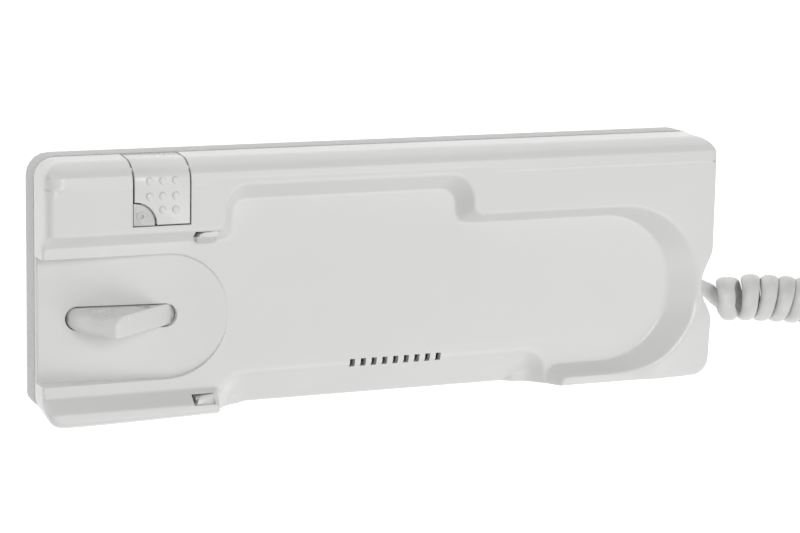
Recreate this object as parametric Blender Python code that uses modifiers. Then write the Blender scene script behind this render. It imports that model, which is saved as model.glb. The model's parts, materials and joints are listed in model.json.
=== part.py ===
"""Wall base of a slimline door-entry phone, lying on its back.

+X runs to the cord end, +Y to the button side, +Z out of the front. The origin is the middle of the back.
The ear end is at -X, the mouth end at +X, the low side at -Y and the high side at +Y. Metres.
"""
import math

import bmesh
import bpy
from mathutils import Matrix, Vector

# Driving sizes
LENGTH = 0.220
WIDTH = 0.079
FRONT_Z = 0.0226
PARTING_Z = 0.0085
WALL = 0.002
GAP = 0.0003
RUN_GAP = 0.0004
CORNER_RADIUS = 0.0065
EDGE_RADIUS = 0.0016
ARC_STEPS = 5
CLEAR = 0.010

EAR = -LENGTH / 2
MOUTH = LENGTH / 2
LOW = -WIDTH / 2
HIGH = WIDTH / 2

# Handset trough: its foot, and the flanks that rise from it to the rim
BOWL_RADIUS = 0.0233
BOWL_LOW_MARGIN = 0.0060
BOWL_END_MARGIN = 0.0147
BOWL_RIM_SHIFT = 0.0067
BOWL_RIM_GROWTH = 0.0035
BOWL_X = MOUTH - BOWL_END_MARGIN - BOWL_RADIUS
AXIS_Y = LOW + BOWL_LOW_MARGIN + BOWL_RADIUS
TROUGH_DEPTH = 0.0056
TROUGH_Z = FRONT_Z - TROUGH_DEPTH
FLANK = 0.0049
TIGHT_BEND = 0.0025
WIDE_BEND = 0.0060
EAR_TROUGH_HALF = 0.0220
EAR_LOBE_LENGTH = 0.0575
MOUTH_LOBE_LENGTH = 0.0575
OPEN_SIDE_START = EAR + EAR_LOBE_LENGTH
OPEN_SIDE_END = MOUTH - MOUTH_LOBE_LENGTH
SCALLOP_SHIFT = 0.0010
SCALLOP_START = OPEN_SIDE_START + SCALLOP_SHIFT
SCALLOP_LENGTH = 0.0720
SCALLOP_REACH = 0.0107
SCALLOP_Y = AXIS_Y + BOWL_RADIUS + SCALLOP_REACH
SCALLOP_FLANK = 0.0058

# Slope of the open low side
SLOPE_WIDTH = 0.0105
SLOPE_LIP = 0.0010

# Ear recess, with a floor that rises from the ear end to the trough floor
RECESS_RADIUS = 0.0189
RECESS_LENGTH = 0.0383
RECESS_X = EAR + RECESS_LENGTH
RECESS_DEPTH = 0.0068
RECESS_SLOPE = RECESS_DEPTH / (RECESS_X + RECESS_RADIUS - EAR)

# Cord notch and exit
NOTCH_DEPTH = 0.0038
NOTCH_HALF = 0.0115
EXIT_RADIUS = 0.0034

# Hook lever, its slot in the recess floor and its pin
SLOT_MARGIN = 0.0085
SLOT_X = EAR + SLOT_MARGIN
SLOT_LENGTH = 0.0334
SLOT_WIDTH = 0.0072
LEVER_AXIS_SHIFT = 0.0031
LEVER_AXIS_X = SLOT_X + SLOT_LENGTH + LEVER_AXIS_SHIFT
LEVER_HUB_RADIUS = 0.0034
LEVER_HEADROOM = 0.00085
LEVER_FRONT_GAP = 0.0019
LEVER_REACH = LEVER_AXIS_X - SLOT_X - LEVER_FRONT_GAP
LEVER_AXIS_Z = (TROUGH_Z - RECESS_DEPTH + RECESS_SLOPE * (LEVER_AXIS_X - EAR)
                - WALL - LEVER_HEADROOM - LEVER_HUB_RADIUS)
LEVER_APEX_SHIFT = 0.0115
LEVER_APEX_X = SLOT_X + LEVER_APEX_SHIFT
LEVER_RISE = 0.0051
LEVER_APEX_Z = FRONT_Z + LEVER_RISE
LEVER_WALL = 0.0014
LEVER_RIDGE = 0.0027
LEVER_WIDTH = SLOT_WIDTH - 2 * RUN_GAP
LEVER_TAIL_LENGTH = 0.0115
LEVER_TAIL_THICKNESS = 0.0023
PIN_RADIUS = 0.0012
POST_THICKNESS = 0.0025
POST_HALF = 0.0034
SPRING_WIRE = 0.0005

# Door release key, with its trunnions, symbol tile and raised dots
BUTTON_MARGIN = 0.0263
BUTTON_X0 = EAR + BUTTON_MARGIN
BUTTON_WIDTH = 0.0180
BUTTON_LAND = 0.0011
BUTTON_Y0 = AXIS_Y + EAR_TROUGH_HALF + FLANK + BUTTON_LAND
BUTTON_WALL = 0.0015
BUTTON_SKIRT = 0.0034
BUTTON_AXIS_INSET = 0.0035
BUTTON_AXIS_DEPTH = 0.0036
BUTTON_AXIS_Y = HIGH - BUTTON_AXIS_INSET
BUTTON_AXIS_Z = FRONT_Z - BUTTON_AXIS_DEPTH
BUTTON_EAR_HALF = 0.0022
BUTTON_EDGE_RADIUS = 0.0030
BUTTON_STEM_RADIUS = 0.0016
BUTTON_SPRING_SHIFT = 0.0050
BUTTON_SPRING_RADIUS = 0.0015
TRUNNION_RADIUS = 0.0011
TRUNNION_LENGTH = 0.0012
CHEEK_HALF = 0.0028
TILE_RADIUS = 0.0068
TILE_THICKNESS = 0.0014
SHELF_STEP = 0.0008
KEY_BOW_RADIUS = 0.0014
KEY_BOW_HOLE = 0.0007
KEY_STEM_WIDTH = 0.0006
KEY_STEM_LENGTH = 0.0024
KEY_RELIEF = 0.0003
DOT_RADIUS = 0.00125
DOT_HEIGHT = 0.0003
DOT_MARGIN_X = 0.0046
DOT_MARGIN_Y = 0.0080
DOT_PITCH_X = 0.0040
DOT_PITCH_Y = 0.0043
DOT_COLUMNS = 3
DOT_ROOM = 0.0004

# Circuit board, an L with a tongue under the door release key
BOARD_Z = 0.0040
BOARD_THICKNESS = 0.0012
BOARD_TOP = BOARD_Z + BOARD_THICKNESS
PART_Z = BOARD_TOP + GAP
BOARD_LEVER_ROOM = 0.0050
BOARD_END_MARGIN = 0.0240
BOARD_LOW_MARGIN = 0.0120
BOARD_HIGH_MARGIN = 0.0090
BOARD_X0 = LEVER_AXIS_X + BOARD_LEVER_ROOM
BOARD_X1 = MOUTH - BOARD_END_MARGIN
BOARD_Y0 = LOW + BOARD_LOW_MARGIN
BOARD_Y1 = HIGH - BOARD_HIGH_MARGIN
TONGUE_OVERHANG = 0.0023
TONGUE_X0 = BUTTON_X0 - TONGUE_OVERHANG
TONGUE_WIDTH = 0.0120
TONGUE_NECK = 0.0060
BOARD_NOTCH = 0.0080
STANDOFF_RADIUS = 0.0030
SCREW_RADIUS = 0.0011
SCREW_HEAD_RADIUS = 0.0021
SCREW_HEAD_HEIGHT = 0.0013
SCREW_SLOT = 0.0005
SCREW_INSET = 0.0040

# What stands on the board
SWITCH_SIZE = 0.0060
SWITCH_HEIGHT = 0.0033
SWITCH_WELL_FLOOR = 0.0005
PLUNGER_RADIUS = 0.0015
DOOR_PLUNGER_STROKE = 0.0014
DOOR_SWITCH_INSET = 0.0055
HOOK_SWITCH_ARM = 0.0090
SOUNDER_RADIUS = 0.0130
SOUNDER_HEADROOM = 0.0015
SOUNDER_PORT_RADIUS = 0.0014
CORE_SIZE = (0.0130, 0.0150, 0.0085)
CORE_SHIFT_Y = 0.0020
CORE_YOKE = 0.0014
CORE_LIMB = 0.0023
WINDING_LENGTH = 0.0190
TERMINAL_WAYS = 5
TERMINAL_END_INSET = 0.0100
TERMINAL_INSET = 0.0115
TERMINAL_PITCH = 0.0050
TERMINAL_DEPTH = 0.0080
TERMINAL_HEIGHT = 0.0085
TERMINAL_SCREW_RADIUS = 0.0015
TERMINAL_SCREW_DEPTH = 0.0040
WIRE_ENTRY = (0.0030, 0.0026)
WIRE_ENTRY_SILL = 0.0010
CHIP_SIZE = (0.0100, 0.0064, 0.0034)
CHIP_SHIFT = (0.0220, 0.0080)
CAPACITOR_RADIUS = 0.0032
CAPACITOR_HEIGHT = 0.0075
CAPACITOR_START = 0.0180
CAPACITOR_PITCH = 0.0100
CAPACITOR_SHIFT_Y = -0.0100
FILTER_SHIFT = (-0.0240, -0.0120)
RESISTOR_COUNT = 4
RESISTOR_RADIUS = 0.0011
RESISTOR_LENGTH = 0.0060
RESISTOR_PITCH = 0.0045
RESISTOR_START = 0.0205
RESISTOR_SHIFT_Y = 0.0200
TRIMMER_SIZE = 0.0070
TRIMMER_HEIGHT = 0.0045
TRIMMER_START = 0.0140
TRIMMER_INSET = 0.0070
ROTOR_RADIUS = 0.0022
ROTOR_SEAT = 0.0030

# Vents over the sounder
VENT_COUNT = 9
VENT_PITCH = 0.00359
VENT_WIDTH = 0.0017
VENT_HEIGHT = 0.0025
VENT_SHIFT = 0.0394
VENT_LAND = 0.0005
VENT_X0 = OPEN_SIDE_START + VENT_SHIFT
VENT_Y = LOW + SLOPE_WIDTH + VENT_LAND

# Cover catches and wall fixing
CATCH_MARGIN = 0.0492
CATCH_X = EAR + CATCH_MARGIN
CATCH_LENGTH = 0.0062
CATCH_WIDTH = 0.0017
CATCH_SHIFT = 0.0004
CATCH_HEIGHT = 0.0022
CATCH_LAND = 0.0026
CATCH_OFFSET = EAR_TROUGH_HALF + CATCH_LAND
WINDOW_LENGTH = 0.0076
WINDOW_WIDTH = 0.0026
WALL_SLOT_LENGTH = 0.0090
WALL_SLOT_WIDTH = 0.0038
WALL_SLOT_INSET = 0.0130
CABLE_ENTRY = (0.0140, 0.0110)
CABLE_ENTRY_RADIUS = 0.0020
CABLE_ENTRY_GAP = 0.0030

# Modular plugs and the handset jack
PLUG_LENGTH = 0.0117
PLUG_WIDTH = 0.0077
PLUG_HEIGHT = 0.0064
CONTACT_COUNT = 4
CONTACT_PITCH = 0.0010
CONTACT_THICKNESS = 0.0004
CONTACT_LENGTH = 0.0044
CONTACT_DEPTH = 0.0020
CONTACT_BACK = 0.0008
PLUG_SETBACK = 0.0167
PLUG_BACK_X = MOUTH - PLUG_SETBACK
PLUG_Z = 0.0098
JACK_WALL = 0.0009
JACK_SHORT = 0.0030

# Curly cord. Its points lie on the surface that the part rests on, and past the end of the part.
LEAD_RADIUS = 0.0022
COIL_RADIUS = 0.0080
COIL_Z = 0.0082
TAIL_REST_Z = 0.0024
TUBE_STEP = 0.0045
COIL_ROUTE = [
    (0.1198, -0.0178), (0.1260, -0.0181), (0.1326, -0.0186), (0.1420, -0.0195), (0.1510, -0.0206),
    (0.1650, -0.0222), (0.1800, -0.0236), (0.1960, -0.0238), (0.2095, -0.0189), (0.2200, -0.0082),
    (0.2252, 0.0060), (0.2238, 0.0213), (0.2154, 0.0343), (0.2020, 0.0410), (0.1885, 0.0405),
    (0.1768, 0.0331), (0.1697, 0.0216), (0.1687, 0.0090), (0.1738, -0.0013), (0.1825, -0.0064),
    (0.1920, -0.0075),
]
LEAD_ROUTE = [
    (0.0936, -0.0102, 0.0098), (0.0990, -0.0102, 0.0097), (0.1035, -0.0102, 0.0089),
    (0.1075, -0.0107, 0.0083), (0.1110, -0.0128, 0.0074), (0.1146, -0.0153, 0.0060),
    (0.1183, -0.0170, 0.0053),
]
TAIL_ROUTE = [
    (0.1936, -0.0072, 0.0043), (0.1980, -0.0064, 0.0034), (0.2044, -0.0046, 0.0026),
    (0.2094, 0.0005, TAIL_REST_Z), (0.2112, 0.0073, TAIL_REST_Z), (0.2094, 0.0142, TAIL_REST_Z),
    (0.2044, 0.0192, 0.0026), (0.1980, 0.0210, 0.0034), (0.1932, 0.0210, 0.0036),
]


# Scene, materials and mesh helpers

def clear_scene():
    for item in list(bpy.data.objects):
        bpy.data.objects.remove(item)


def make_collection(name):
    collection = bpy.data.collections.new(name)
    bpy.context.scene.collection.children.link(collection)
    return collection


def make_material(name, colour, roughness, metallic=0.0):
    material = bpy.data.materials.new(name)
    material.use_nodes = True
    shader = material.node_tree.nodes["Principled BSDF"]
    shader.inputs["Base Color"].default_value = (*colour, 1.0)
    shader.inputs["Roughness"].default_value = roughness
    shader.inputs["Metallic"].default_value = metallic
    return material


def add_object(name, bm, material=None):
    """A part from a mesh and its material. Without a material it is a cutter, or an addition for a union."""
    mesh = bpy.data.meshes.new(name)
    bmesh.ops.recalc_face_normals(bm, faces=bm.faces)
    bm.to_mesh(mesh)
    bm.free()
    item = bpy.data.objects.new(name, mesh)
    if material:
        PARTS.objects.link(item)
        mesh.materials.append(material)
        mesh.shade_smooth()
        mesh.set_sharp_from_angle(angle=math.radians(30))
    else:
        CUTTERS.objects.link(item)
        item.hide_render = True
        item.display_type = "WIRE"
    return item


def set_origin(item, point):
    """Moves the object's origin to a point and keeps the mesh where it is."""
    item.data.transform(Matrix.Translation(-Vector(point)))
    item.location = point


def add_bevel(item, width, segments=2, angle=40):
    bevel = item.modifiers.new("Rounded edges", "BEVEL")
    bevel.width = width
    bevel.segments = segments
    bevel.limit_method = "ANGLE"
    bevel.angle_limit = math.radians(angle)


def boolean(item, other, operation="DIFFERENCE"):
    modifier = item.modifiers.new(operation.title(), "BOOLEAN")
    modifier.operation = operation
    modifier.object = other
    modifier.solver = "EXACT"


def block(name, low, high, material=None):
    """A box from its lowest to its highest corner."""
    bm = bmesh.new()
    bmesh.ops.create_cube(bm, size=1.0)
    size = [b - a for a, b in zip(low, high)]
    middle = [(a + b) / 2 for a, b in zip(low, high)]
    bmesh.ops.scale(bm, vec=size, verts=bm.verts)
    bmesh.ops.translate(bm, vec=middle, verts=bm.verts)
    return add_object(name, bm, material)


def add_rod(bm, start, end, radius, end_radius=None, sides=20):
    """Adds a closed round rod or cone between two points to a mesh."""
    start, end = Vector(start), Vector(end)
    along = end - start
    turn = along.to_track_quat("Z", "Y").to_matrix().to_4x4()
    place = Matrix.Translation((start + end) / 2) @ turn
    tip = radius if end_radius is None else end_radius
    bmesh.ops.create_cone(bm, cap_ends=True, segments=sides, radius1=radius, radius2=tip,
                          depth=along.length, matrix=place)


def rod(name, start, end, radius, material=None, sides=20, end_radius=None):
    bm = bmesh.new()
    add_rod(bm, start, end, radius, end_radius, sides)
    return add_object(name, bm, material)


def arc(centre, radius, start, end, steps):
    """Points along an arc, with angles in degrees and both ends included."""
    points = []
    for index in range(steps + 1):
        angle = math.radians(start + (end - start) * index / steps)
        points.append((centre[0] + radius * math.cos(angle), centre[1] + radius * math.sin(angle)))
    return points


def rounded(corners, steps=ARC_STEPS):
    """An outline from corners of (x, y, radius). A radius of 0 keeps the corner sharp."""
    points = []
    count = len(corners)
    for index, (x, y, radius) in enumerate(corners):
        here = Vector((x, y))
        if radius == 0:
            points.append((x, y))
            continue
        before = (Vector(corners[index - 1][:2]) - here).normalized()
        after = (Vector(corners[(index + 1) % count][:2]) - here).normalized()
        half = before.angle(after) / 2
        reach = radius / math.tan(half)
        middle = here + (before + after).normalized() * (radius / math.sin(half))
        first = here + before * reach - middle
        last = here + after * reach - middle
        for step in range(steps + 1):
            points.append(tuple(middle + first.slerp(last, step / steps) * radius))
    return points


def rounded_box(x0, x1, y0, y1, radius, steps=ARC_STEPS):
    return rounded([(x0, y0, radius), (x1, y0, radius), (x1, y1, radius), (x0, y1, radius)], steps)


def stadium(x0, x1, middle_y, width, steps=8):
    radius = width / 2
    right = arc((x1 - radius, middle_y), radius, -90, 90, steps)
    left = arc((x0 + radius, middle_y), radius, 90, 270, steps)
    return right + left


def outline_mesh(name, points, thickness):
    """A flat outline given a thickness: a filled 2D curve made into a closed mesh around z = 0."""
    curve = bpy.data.curves.new(name, "CURVE")
    curve.dimensions = "2D"
    curve.fill_mode = "BOTH"
    curve.extrude = thickness / 2
    spline = curve.splines.new("POLY")
    spline.points.add(len(points) - 1)
    for point, (x, y) in zip(spline.points, points):
        point.co = (x, y, 0.0, 1.0)
    spline.use_cyclic_u = True
    guide = bpy.data.objects.new(name, curve)
    bpy.context.scene.collection.objects.link(guide)
    mesh = bpy.data.meshes.new_from_object(guide.evaluated_get(bpy.context.evaluated_depsgraph_get()))
    bpy.data.objects.remove(guide)
    bpy.data.curves.remove(curve)
    bm = bmesh.new()
    bm.from_mesh(mesh)
    bpy.data.meshes.remove(mesh)
    bmesh.ops.remove_doubles(bm, verts=bm.verts, dist=1e-6)
    bmesh.ops.dissolve_limit(bm, angle_limit=math.radians(0.5), verts=bm.verts, edges=bm.edges)
    return bm


def prism(name, points, z0, z1, material=None):
    bm = outline_mesh(name, points, z1 - z0)
    bmesh.ops.translate(bm, vec=(0, 0, (z0 + z1) / 2), verts=bm.verts)
    return add_object(name, bm, material)


def side_prism(name, points, y0, y1, material=None):
    """An outline drawn in x and z, given its thickness along y."""
    bm = outline_mesh(name, points, y1 - y0)
    bmesh.ops.rotate(bm, cent=(0, 0, 0), matrix=Matrix.Rotation(math.radians(90), 3, "X"), verts=bm.verts)
    bmesh.ops.translate(bm, vec=(0, (y0 + y1) / 2, 0), verts=bm.verts)
    return add_object(name, bm, material)


def end_prism(name, points, x0, x1, material=None):
    """An outline drawn in y and z, given its thickness along x."""
    bm = outline_mesh(name, points, x1 - x0)
    turn = Matrix(((0, 0, 1), (1, 0, 0), (0, 1, 0)))
    bmesh.ops.rotate(bm, cent=(0, 0, 0), matrix=turn, verts=bm.verts)
    bmesh.ops.translate(bm, vec=((x0 + x1) / 2, 0, 0), verts=bm.verts)
    return add_object(name, bm, material)


def loft(name, sections, material=None):
    """A closed body through flat outlines of as many points, each with its height."""
    bm = bmesh.new()
    loops = []
    for points, height in sections:
        loops.append([bm.verts.new((x, y, height)) for x, y in points])
    count = len(loops[0])
    for lower, upper in zip(loops, loops[1:]):
        for index in range(count):
            following = (index + 1) % count
            bm.faces.new((lower[index], lower[following], upper[following], upper[index]))
    bm.faces.new(loops[0])
    bm.faces.new(loops[-1])
    return add_object(name, bm, material)


def smooth_route(points, step):
    """Points a step apart along a smooth curve through the route's own points."""
    route = [Vector(p) for p in points]
    route = [2 * route[0] - route[1]] + route + [2 * route[-1] - route[-2]]
    fine = []
    for a, b, c, d in zip(route, route[1:], route[2:], route[3:]):
        for index in range(12):
            t = index / 12
            fine.append(0.5 * (2 * b + (c - a) * t + (2 * a - 5 * b + 4 * c - d) * t ** 2
                               + (3 * b - a - 3 * c + d) * t ** 3))
    fine.append(route[-2])
    total = sum((b - a).length for a, b in zip(fine, fine[1:]))
    count = max(2, round(total / step))
    spaced = [fine[0]]
    walked = 0.0
    for a, b in zip(fine, fine[1:]):
        length = (b - a).length
        while len(spaced) < count and walked + length >= total * len(spaced) / count:
            share = (total * len(spaced) / count - walked) / length
            spaced.append(a.lerp(b, share))
        walked += length
    spaced.append(fine[-1])
    return spaced


def tube(name, points, radius, material, resolution=2):
    """A round wire along a polyline, closed at both ends."""
    curve = bpy.data.curves.new(name, "CURVE")
    curve.dimensions = "3D"
    curve.bevel_depth = radius
    curve.bevel_resolution = resolution
    curve.use_fill_caps = True
    spline = curve.splines.new("POLY")
    spline.points.add(len(points) - 1)
    for point, place in zip(spline.points, points):
        point.co = (*place, 1.0)
    item = bpy.data.objects.new(name, curve)
    PARTS.objects.link(item)
    curve.materials.append(material)
    return item


def coil_points(base, axis, radius, height, turns, steps=10):
    """Points of a coil spring that starts at the base and winds along an axis."""
    axis = Vector(axis)
    side = axis.orthogonal().normalized()
    other = axis.cross(side)
    points = []
    for index in range(turns * steps + 1):
        angle = 2 * math.pi * index / steps
        rise = height * index / (turns * steps)
        points.append(Vector(base) + axis * rise + side * radius * math.cos(angle)
                      + other * radius * math.sin(angle))
    return points


# Outlines of the cover

def body_outline(inset):
    """The cover and the plate from the front, with the cord notch in the mouth end."""
    radius = CORNER_RADIUS - inset
    left, right, low, high = EAR + inset, MOUTH - inset, LOW + inset, HIGH - inset
    outline = arc((right - radius, high - radius), radius, 0, 90, ARC_STEPS)
    outline += arc((left + radius, high - radius), radius, 90, 180, ARC_STEPS)
    outline += arc((left + radius, low + radius), radius, 180, 270, ARC_STEPS)
    outline += arc((right - radius, low + radius), radius, 270, 360, ARC_STEPS)
    steps = 8
    half = NOTCH_HALF + inset
    for index in range(steps + 1):
        share = index / steps
        depth = NOTCH_DEPTH * math.sin(math.pi * share) ** 1.5
        outline.append((right - depth, AXIS_Y - half + 2 * half * share))
    return outline


def trough_outline(grow, flank):
    """The trough at its foot (flank 0) or at its rim (flank 1), widened by grow."""
    side = FLANK * flank + grow
    scallop = SCALLOP_FLANK * flank + grow
    half = EAR_TROUGH_HALF + side
    bowl_x = BOWL_X + BOWL_RIM_SHIFT * flank
    bowl = BOWL_RADIUS + BOWL_RIM_GROWTH * flank + grow
    start = OPEN_SIDE_START - side
    end = OPEN_SIDE_END + side
    scallop_end = SCALLOP_START + SCALLOP_LENGTH + scallop
    outline = rounded([
        (EAR - CLEAR, AXIS_Y - half, 0),
        (start, AXIS_Y - half, TIGHT_BEND),
        (start, LOW - CLEAR, 0),
        (end, LOW - CLEAR, 0),
        (end, AXIS_Y - bowl, TIGHT_BEND),
        (bowl_x, AXIS_Y - bowl, 0),
    ])
    outline += arc((bowl_x, AXIS_Y), bowl, -84, 90, 3 * ARC_STEPS)
    outline += rounded([
        (bowl_x, AXIS_Y + bowl, 0),
        (scallop_end, AXIS_Y + bowl, TIGHT_BEND),
        (scallop_end, SCALLOP_Y + scallop, WIDE_BEND),
        (SCALLOP_START - side, SCALLOP_Y + scallop, WIDE_BEND),
        (SCALLOP_START - side, AXIS_Y + half, TIGHT_BEND),
        (EAR - CLEAR, AXIS_Y + half, 0),
    ])[1:]
    return outline


def recess_floor(x):
    return TROUGH_Z - RECESS_DEPTH + RECESS_SLOPE * (x - EAR)


def cut_trough(body, grow):
    """Cuts the handset trough, the low side's slope and the ear recess from a cover body."""
    tag = "hollow" if grow else "face"
    rise = 1.5
    foot, rim = trough_outline(grow, 0.0), trough_outline(grow, 1.0)
    above = [(a[0] + (b[0] - a[0]) * rise, a[1] + (b[1] - a[1]) * rise) for a, b in zip(foot, rim)]
    floor_z = TROUGH_Z - grow
    boolean(body, loft(f"cut_trough_{tag}", [(foot, floor_z), (above, floor_z + TROUGH_DEPTH * rise)]))

    steep = (TROUGH_Z - PARTING_Z - SLOPE_LIP) / SLOPE_WIDTH
    line_y = LOW + SLOPE_WIDTH
    line_z = TROUGH_Z - grow * math.sqrt(1 + steep ** 2)
    wedge = [(line_y + grow, line_z + steep * grow), (line_y + grow, TROUGH_Z + CLEAR),
             (LOW - CLEAR, TROUGH_Z + CLEAR), (LOW - CLEAR, line_z - steep * (SLOPE_WIDTH + CLEAR))]
    boolean(body, end_prism(f"cut_slope_{tag}", wedge, OPEN_SIDE_START - grow, OPEN_SIDE_END + grow))

    radius = RECESS_RADIUS + grow
    outline = [(EAR - CLEAR, AXIS_Y - radius)] + arc((RECESS_X, AXIS_Y), radius, -90, 90, 12)
    outline.append((EAR - CLEAR, AXIS_Y + radius))
    bm = outline_mesh("recess", outline, 2 * CLEAR)
    for vert in bm.verts:
        top = vert.co.z > 0
        vert.co.z = TROUGH_Z + CLEAR if top else recess_floor(vert.co.x) - grow
    boolean(body, add_object(f"cut_recess_{tag}", bm))


def cover_body(name, inset, z0, material=None):
    """The cover's outer form, or its hollow when it is inset by the wall."""
    top = FRONT_Z - inset
    radius = max(EDGE_RADIUS - inset, EDGE_RADIUS / 4)
    sections = [(body_outline(inset), z0), (body_outline(inset), top - radius),
                (body_outline(inset + radius * 0.3), top - radius * 0.3), (body_outline(inset + radius), top)]
    body = loft(name, sections, material)
    cut_trough(body, inset)
    return body


# Housing

def make_cover(material):
    cover = cover_body("front_cover", 0.0, PARTING_Z + GAP / 2, material)
    boolean(cover, cover_body("cut_hollow", WALL, PARTING_Z - CLEAR))

    x0, x1 = BUTTON_X0, BUTTON_X0 + BUTTON_WIDTH
    overlap = WALL / 2
    cheek_y = (BUTTON_AXIS_Y - CHEEK_HALF, HIGH - overlap)
    cheek_z = (BUTTON_AXIS_Z - CHEEK_HALF, FRONT_Z - overlap)
    for number, x in enumerate((x0 - WALL, x1)):
        cheek = block(f"add_cheek_{number}", (x, cheek_y[0], cheek_z[0]), (x + WALL, cheek_y[1], cheek_z[1]))
        boolean(cover, cheek, "UNION")
    opening = block("cut_button_opening", (x0, BUTTON_Y0, PARTING_Z - CLEAR),
                    (x1, HIGH + CLEAR, FRONT_Z + CLEAR))
    boolean(cover, opening)
    shelf_z = FRONT_Z - TILE_THICKNESS - GAP
    shelf = prism("add_tile_shelf", [(x0 - overlap, BUTTON_Y0 - overlap)]
                  + arc((x0, BUTTON_Y0), TILE_RADIUS - SHELF_STEP, 0, 90, 6), shelf_z - WALL, shelf_z)
    boolean(cover, shelf, "UNION")
    bore = rod("cut_trunnion_bore", (x0 - CLEAR, BUTTON_AXIS_Y, BUTTON_AXIS_Z),
               (x1 + CLEAR, BUTTON_AXIS_Y, BUTTON_AXIS_Z), TRUNNION_RADIUS + GAP, sides=16)
    boolean(cover, bore)

    slot = prism("cut_lever_slot", stadium(SLOT_X, SLOT_X + SLOT_LENGTH, AXIS_Y, SLOT_WIDTH), 0.0, FRONT_Z)
    boolean(cover, slot)
    vents = bmesh.new()
    for index in range(VENT_COUNT):
        place = Matrix.Translation((VENT_X0 + index * VENT_PITCH, VENT_Y, TROUGH_Z))
        size = Matrix.Diagonal((VENT_WIDTH, VENT_HEIGHT, 4 * WALL, 1.0))
        bmesh.ops.create_cube(vents, size=1.0, matrix=place @ size)
    boolean(cover, add_object("cut_vents", vents))
    for name, y in catch_rows():
        window = block(f"cut_window_{name}", (CATCH_X - WINDOW_LENGTH / 2, y - WINDOW_WIDTH / 2, PARTING_Z),
                       (CATCH_X + WINDOW_LENGTH / 2, y + WINDOW_WIDTH / 2, FRONT_Z + CLEAR))
        boolean(cover, window)
    boolean(cover, exit_cutter())


def catch_rows():
    return (("low", AXIS_Y - CATCH_OFFSET), ("high", AXIS_Y + CATCH_OFFSET))


def exit_cutter():
    """One round hole on the parting line, which takes half from the cover and half from the plate."""
    name = "cut_cord_exit"
    if name not in bpy.data.objects:
        rod(name, (MOUTH - CLEAR, AXIS_Y, PARTING_Z), (MOUTH + CLEAR, AXIS_Y, PARTING_Z),
            EXIT_RADIUS, sides=16)
    return bpy.data.objects[name]


def board_screw_places():
    low_y, high_y = BOARD_Y0 + SCREW_INSET, BOARD_Y1 - SCREW_INSET
    mouth_x = BOARD_X1 - SCREW_INSET
    return [(BOARD_X0 + 1.5 * SCREW_INSET, low_y), (mouth_x, low_y), (mouth_x, high_y),
            (TONGUE_X0 + SCREW_INSET, high_y)]


def wall_screw_places():
    return [(x, y) for x in (EAR + WALL_SLOT_INSET, MOUTH - WALL_SLOT_INSET)
            for y in (LOW + SLOPE_WIDTH - WALL_SLOT_WIDTH / 2, HIGH - SLOPE_WIDTH + WALL_SLOT_WIDTH / 2)]


def lever_post_spans():
    """Low and high y of each of the two posts beside the lever."""
    inner = LEVER_WIDTH / 2 + RUN_GAP
    outer = inner + POST_THICKNESS
    return [(AXIS_Y - outer, AXIS_Y - inner), (AXIS_Y + inner, AXIS_Y + outer)]


def make_wall_plate(material):
    top = PARTING_Z - GAP / 2
    plate = loft("wall_plate", [(body_outline(0.0), 0.0), (body_outline(0.0), top)], material)
    boolean(plate, loft("cut_plate_hollow", [(body_outline(WALL), WALL), (body_outline(WALL), top + CLEAR)]))

    sunk = WALL / 2
    post_top = LEVER_AXIS_Z + PIN_RADIUS + GAP + 0.6 * WALL
    for number, (y0, y1) in enumerate(lever_post_spans()):
        post = block(f"add_lever_post_{number}", (LEVER_AXIS_X - POST_HALF, y0, sunk),
                     (LEVER_AXIS_X + POST_HALF, y1, post_top))
        boolean(plate, post, "UNION")
    for name, y in catch_rows():
        x = CATCH_X + CATCH_SHIFT
        catch = block(f"add_catch_{name}", (x - CATCH_LENGTH / 2, y - CATCH_WIDTH / 2, sunk),
                      (x + CATCH_LENGTH / 2, y + CATCH_WIDTH / 2, TROUGH_Z + CATCH_HEIGHT))
        boolean(plate, catch, "UNION")
    standoffs = bmesh.new()
    pilots = bmesh.new()
    for x, y in board_screw_places():
        add_rod(standoffs, (x, y, sunk), (x, y, BOARD_Z - GAP), STANDOFF_RADIUS, sides=14)
        add_rod(pilots, (x, y, sunk / 2), (x, y, BOARD_Z + CLEAR), SCREW_RADIUS + GAP, sides=12)
    boolean(plate, add_object("add_standoffs", standoffs), "UNION")
    boolean(plate, add_object("cut_pilots", pilots))
    pin_bore = rod("cut_pin_bore", (LEVER_AXIS_X, AXIS_Y - CLEAR, LEVER_AXIS_Z),
                   (LEVER_AXIS_X, AXIS_Y + CLEAR, LEVER_AXIS_Z), PIN_RADIUS + GAP, sides=14)
    boolean(plate, pin_bore)

    half = WALL_SLOT_LENGTH / 2
    for number, (x, y) in enumerate(wall_screw_places()):
        slot = prism(f"cut_wall_slot_{number}", stadium(x - half, x + half, y, WALL_SLOT_WIDTH, steps=5),
                     -CLEAR, CLEAR / 2)
        boolean(plate, slot)
    cable_x = BOARD_X1 + CABLE_ENTRY_GAP
    cable_y = AXIS_Y + BOWL_RADIUS
    cable = rounded_box(cable_x, cable_x + CABLE_ENTRY[0], cable_y, cable_y + CABLE_ENTRY[1],
                        CABLE_ENTRY_RADIUS, 3)
    boolean(plate, prism("cut_cable_entry", cable, -CLEAR, CLEAR / 2))
    boolean(plate, exit_cutter())


# Controls

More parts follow.
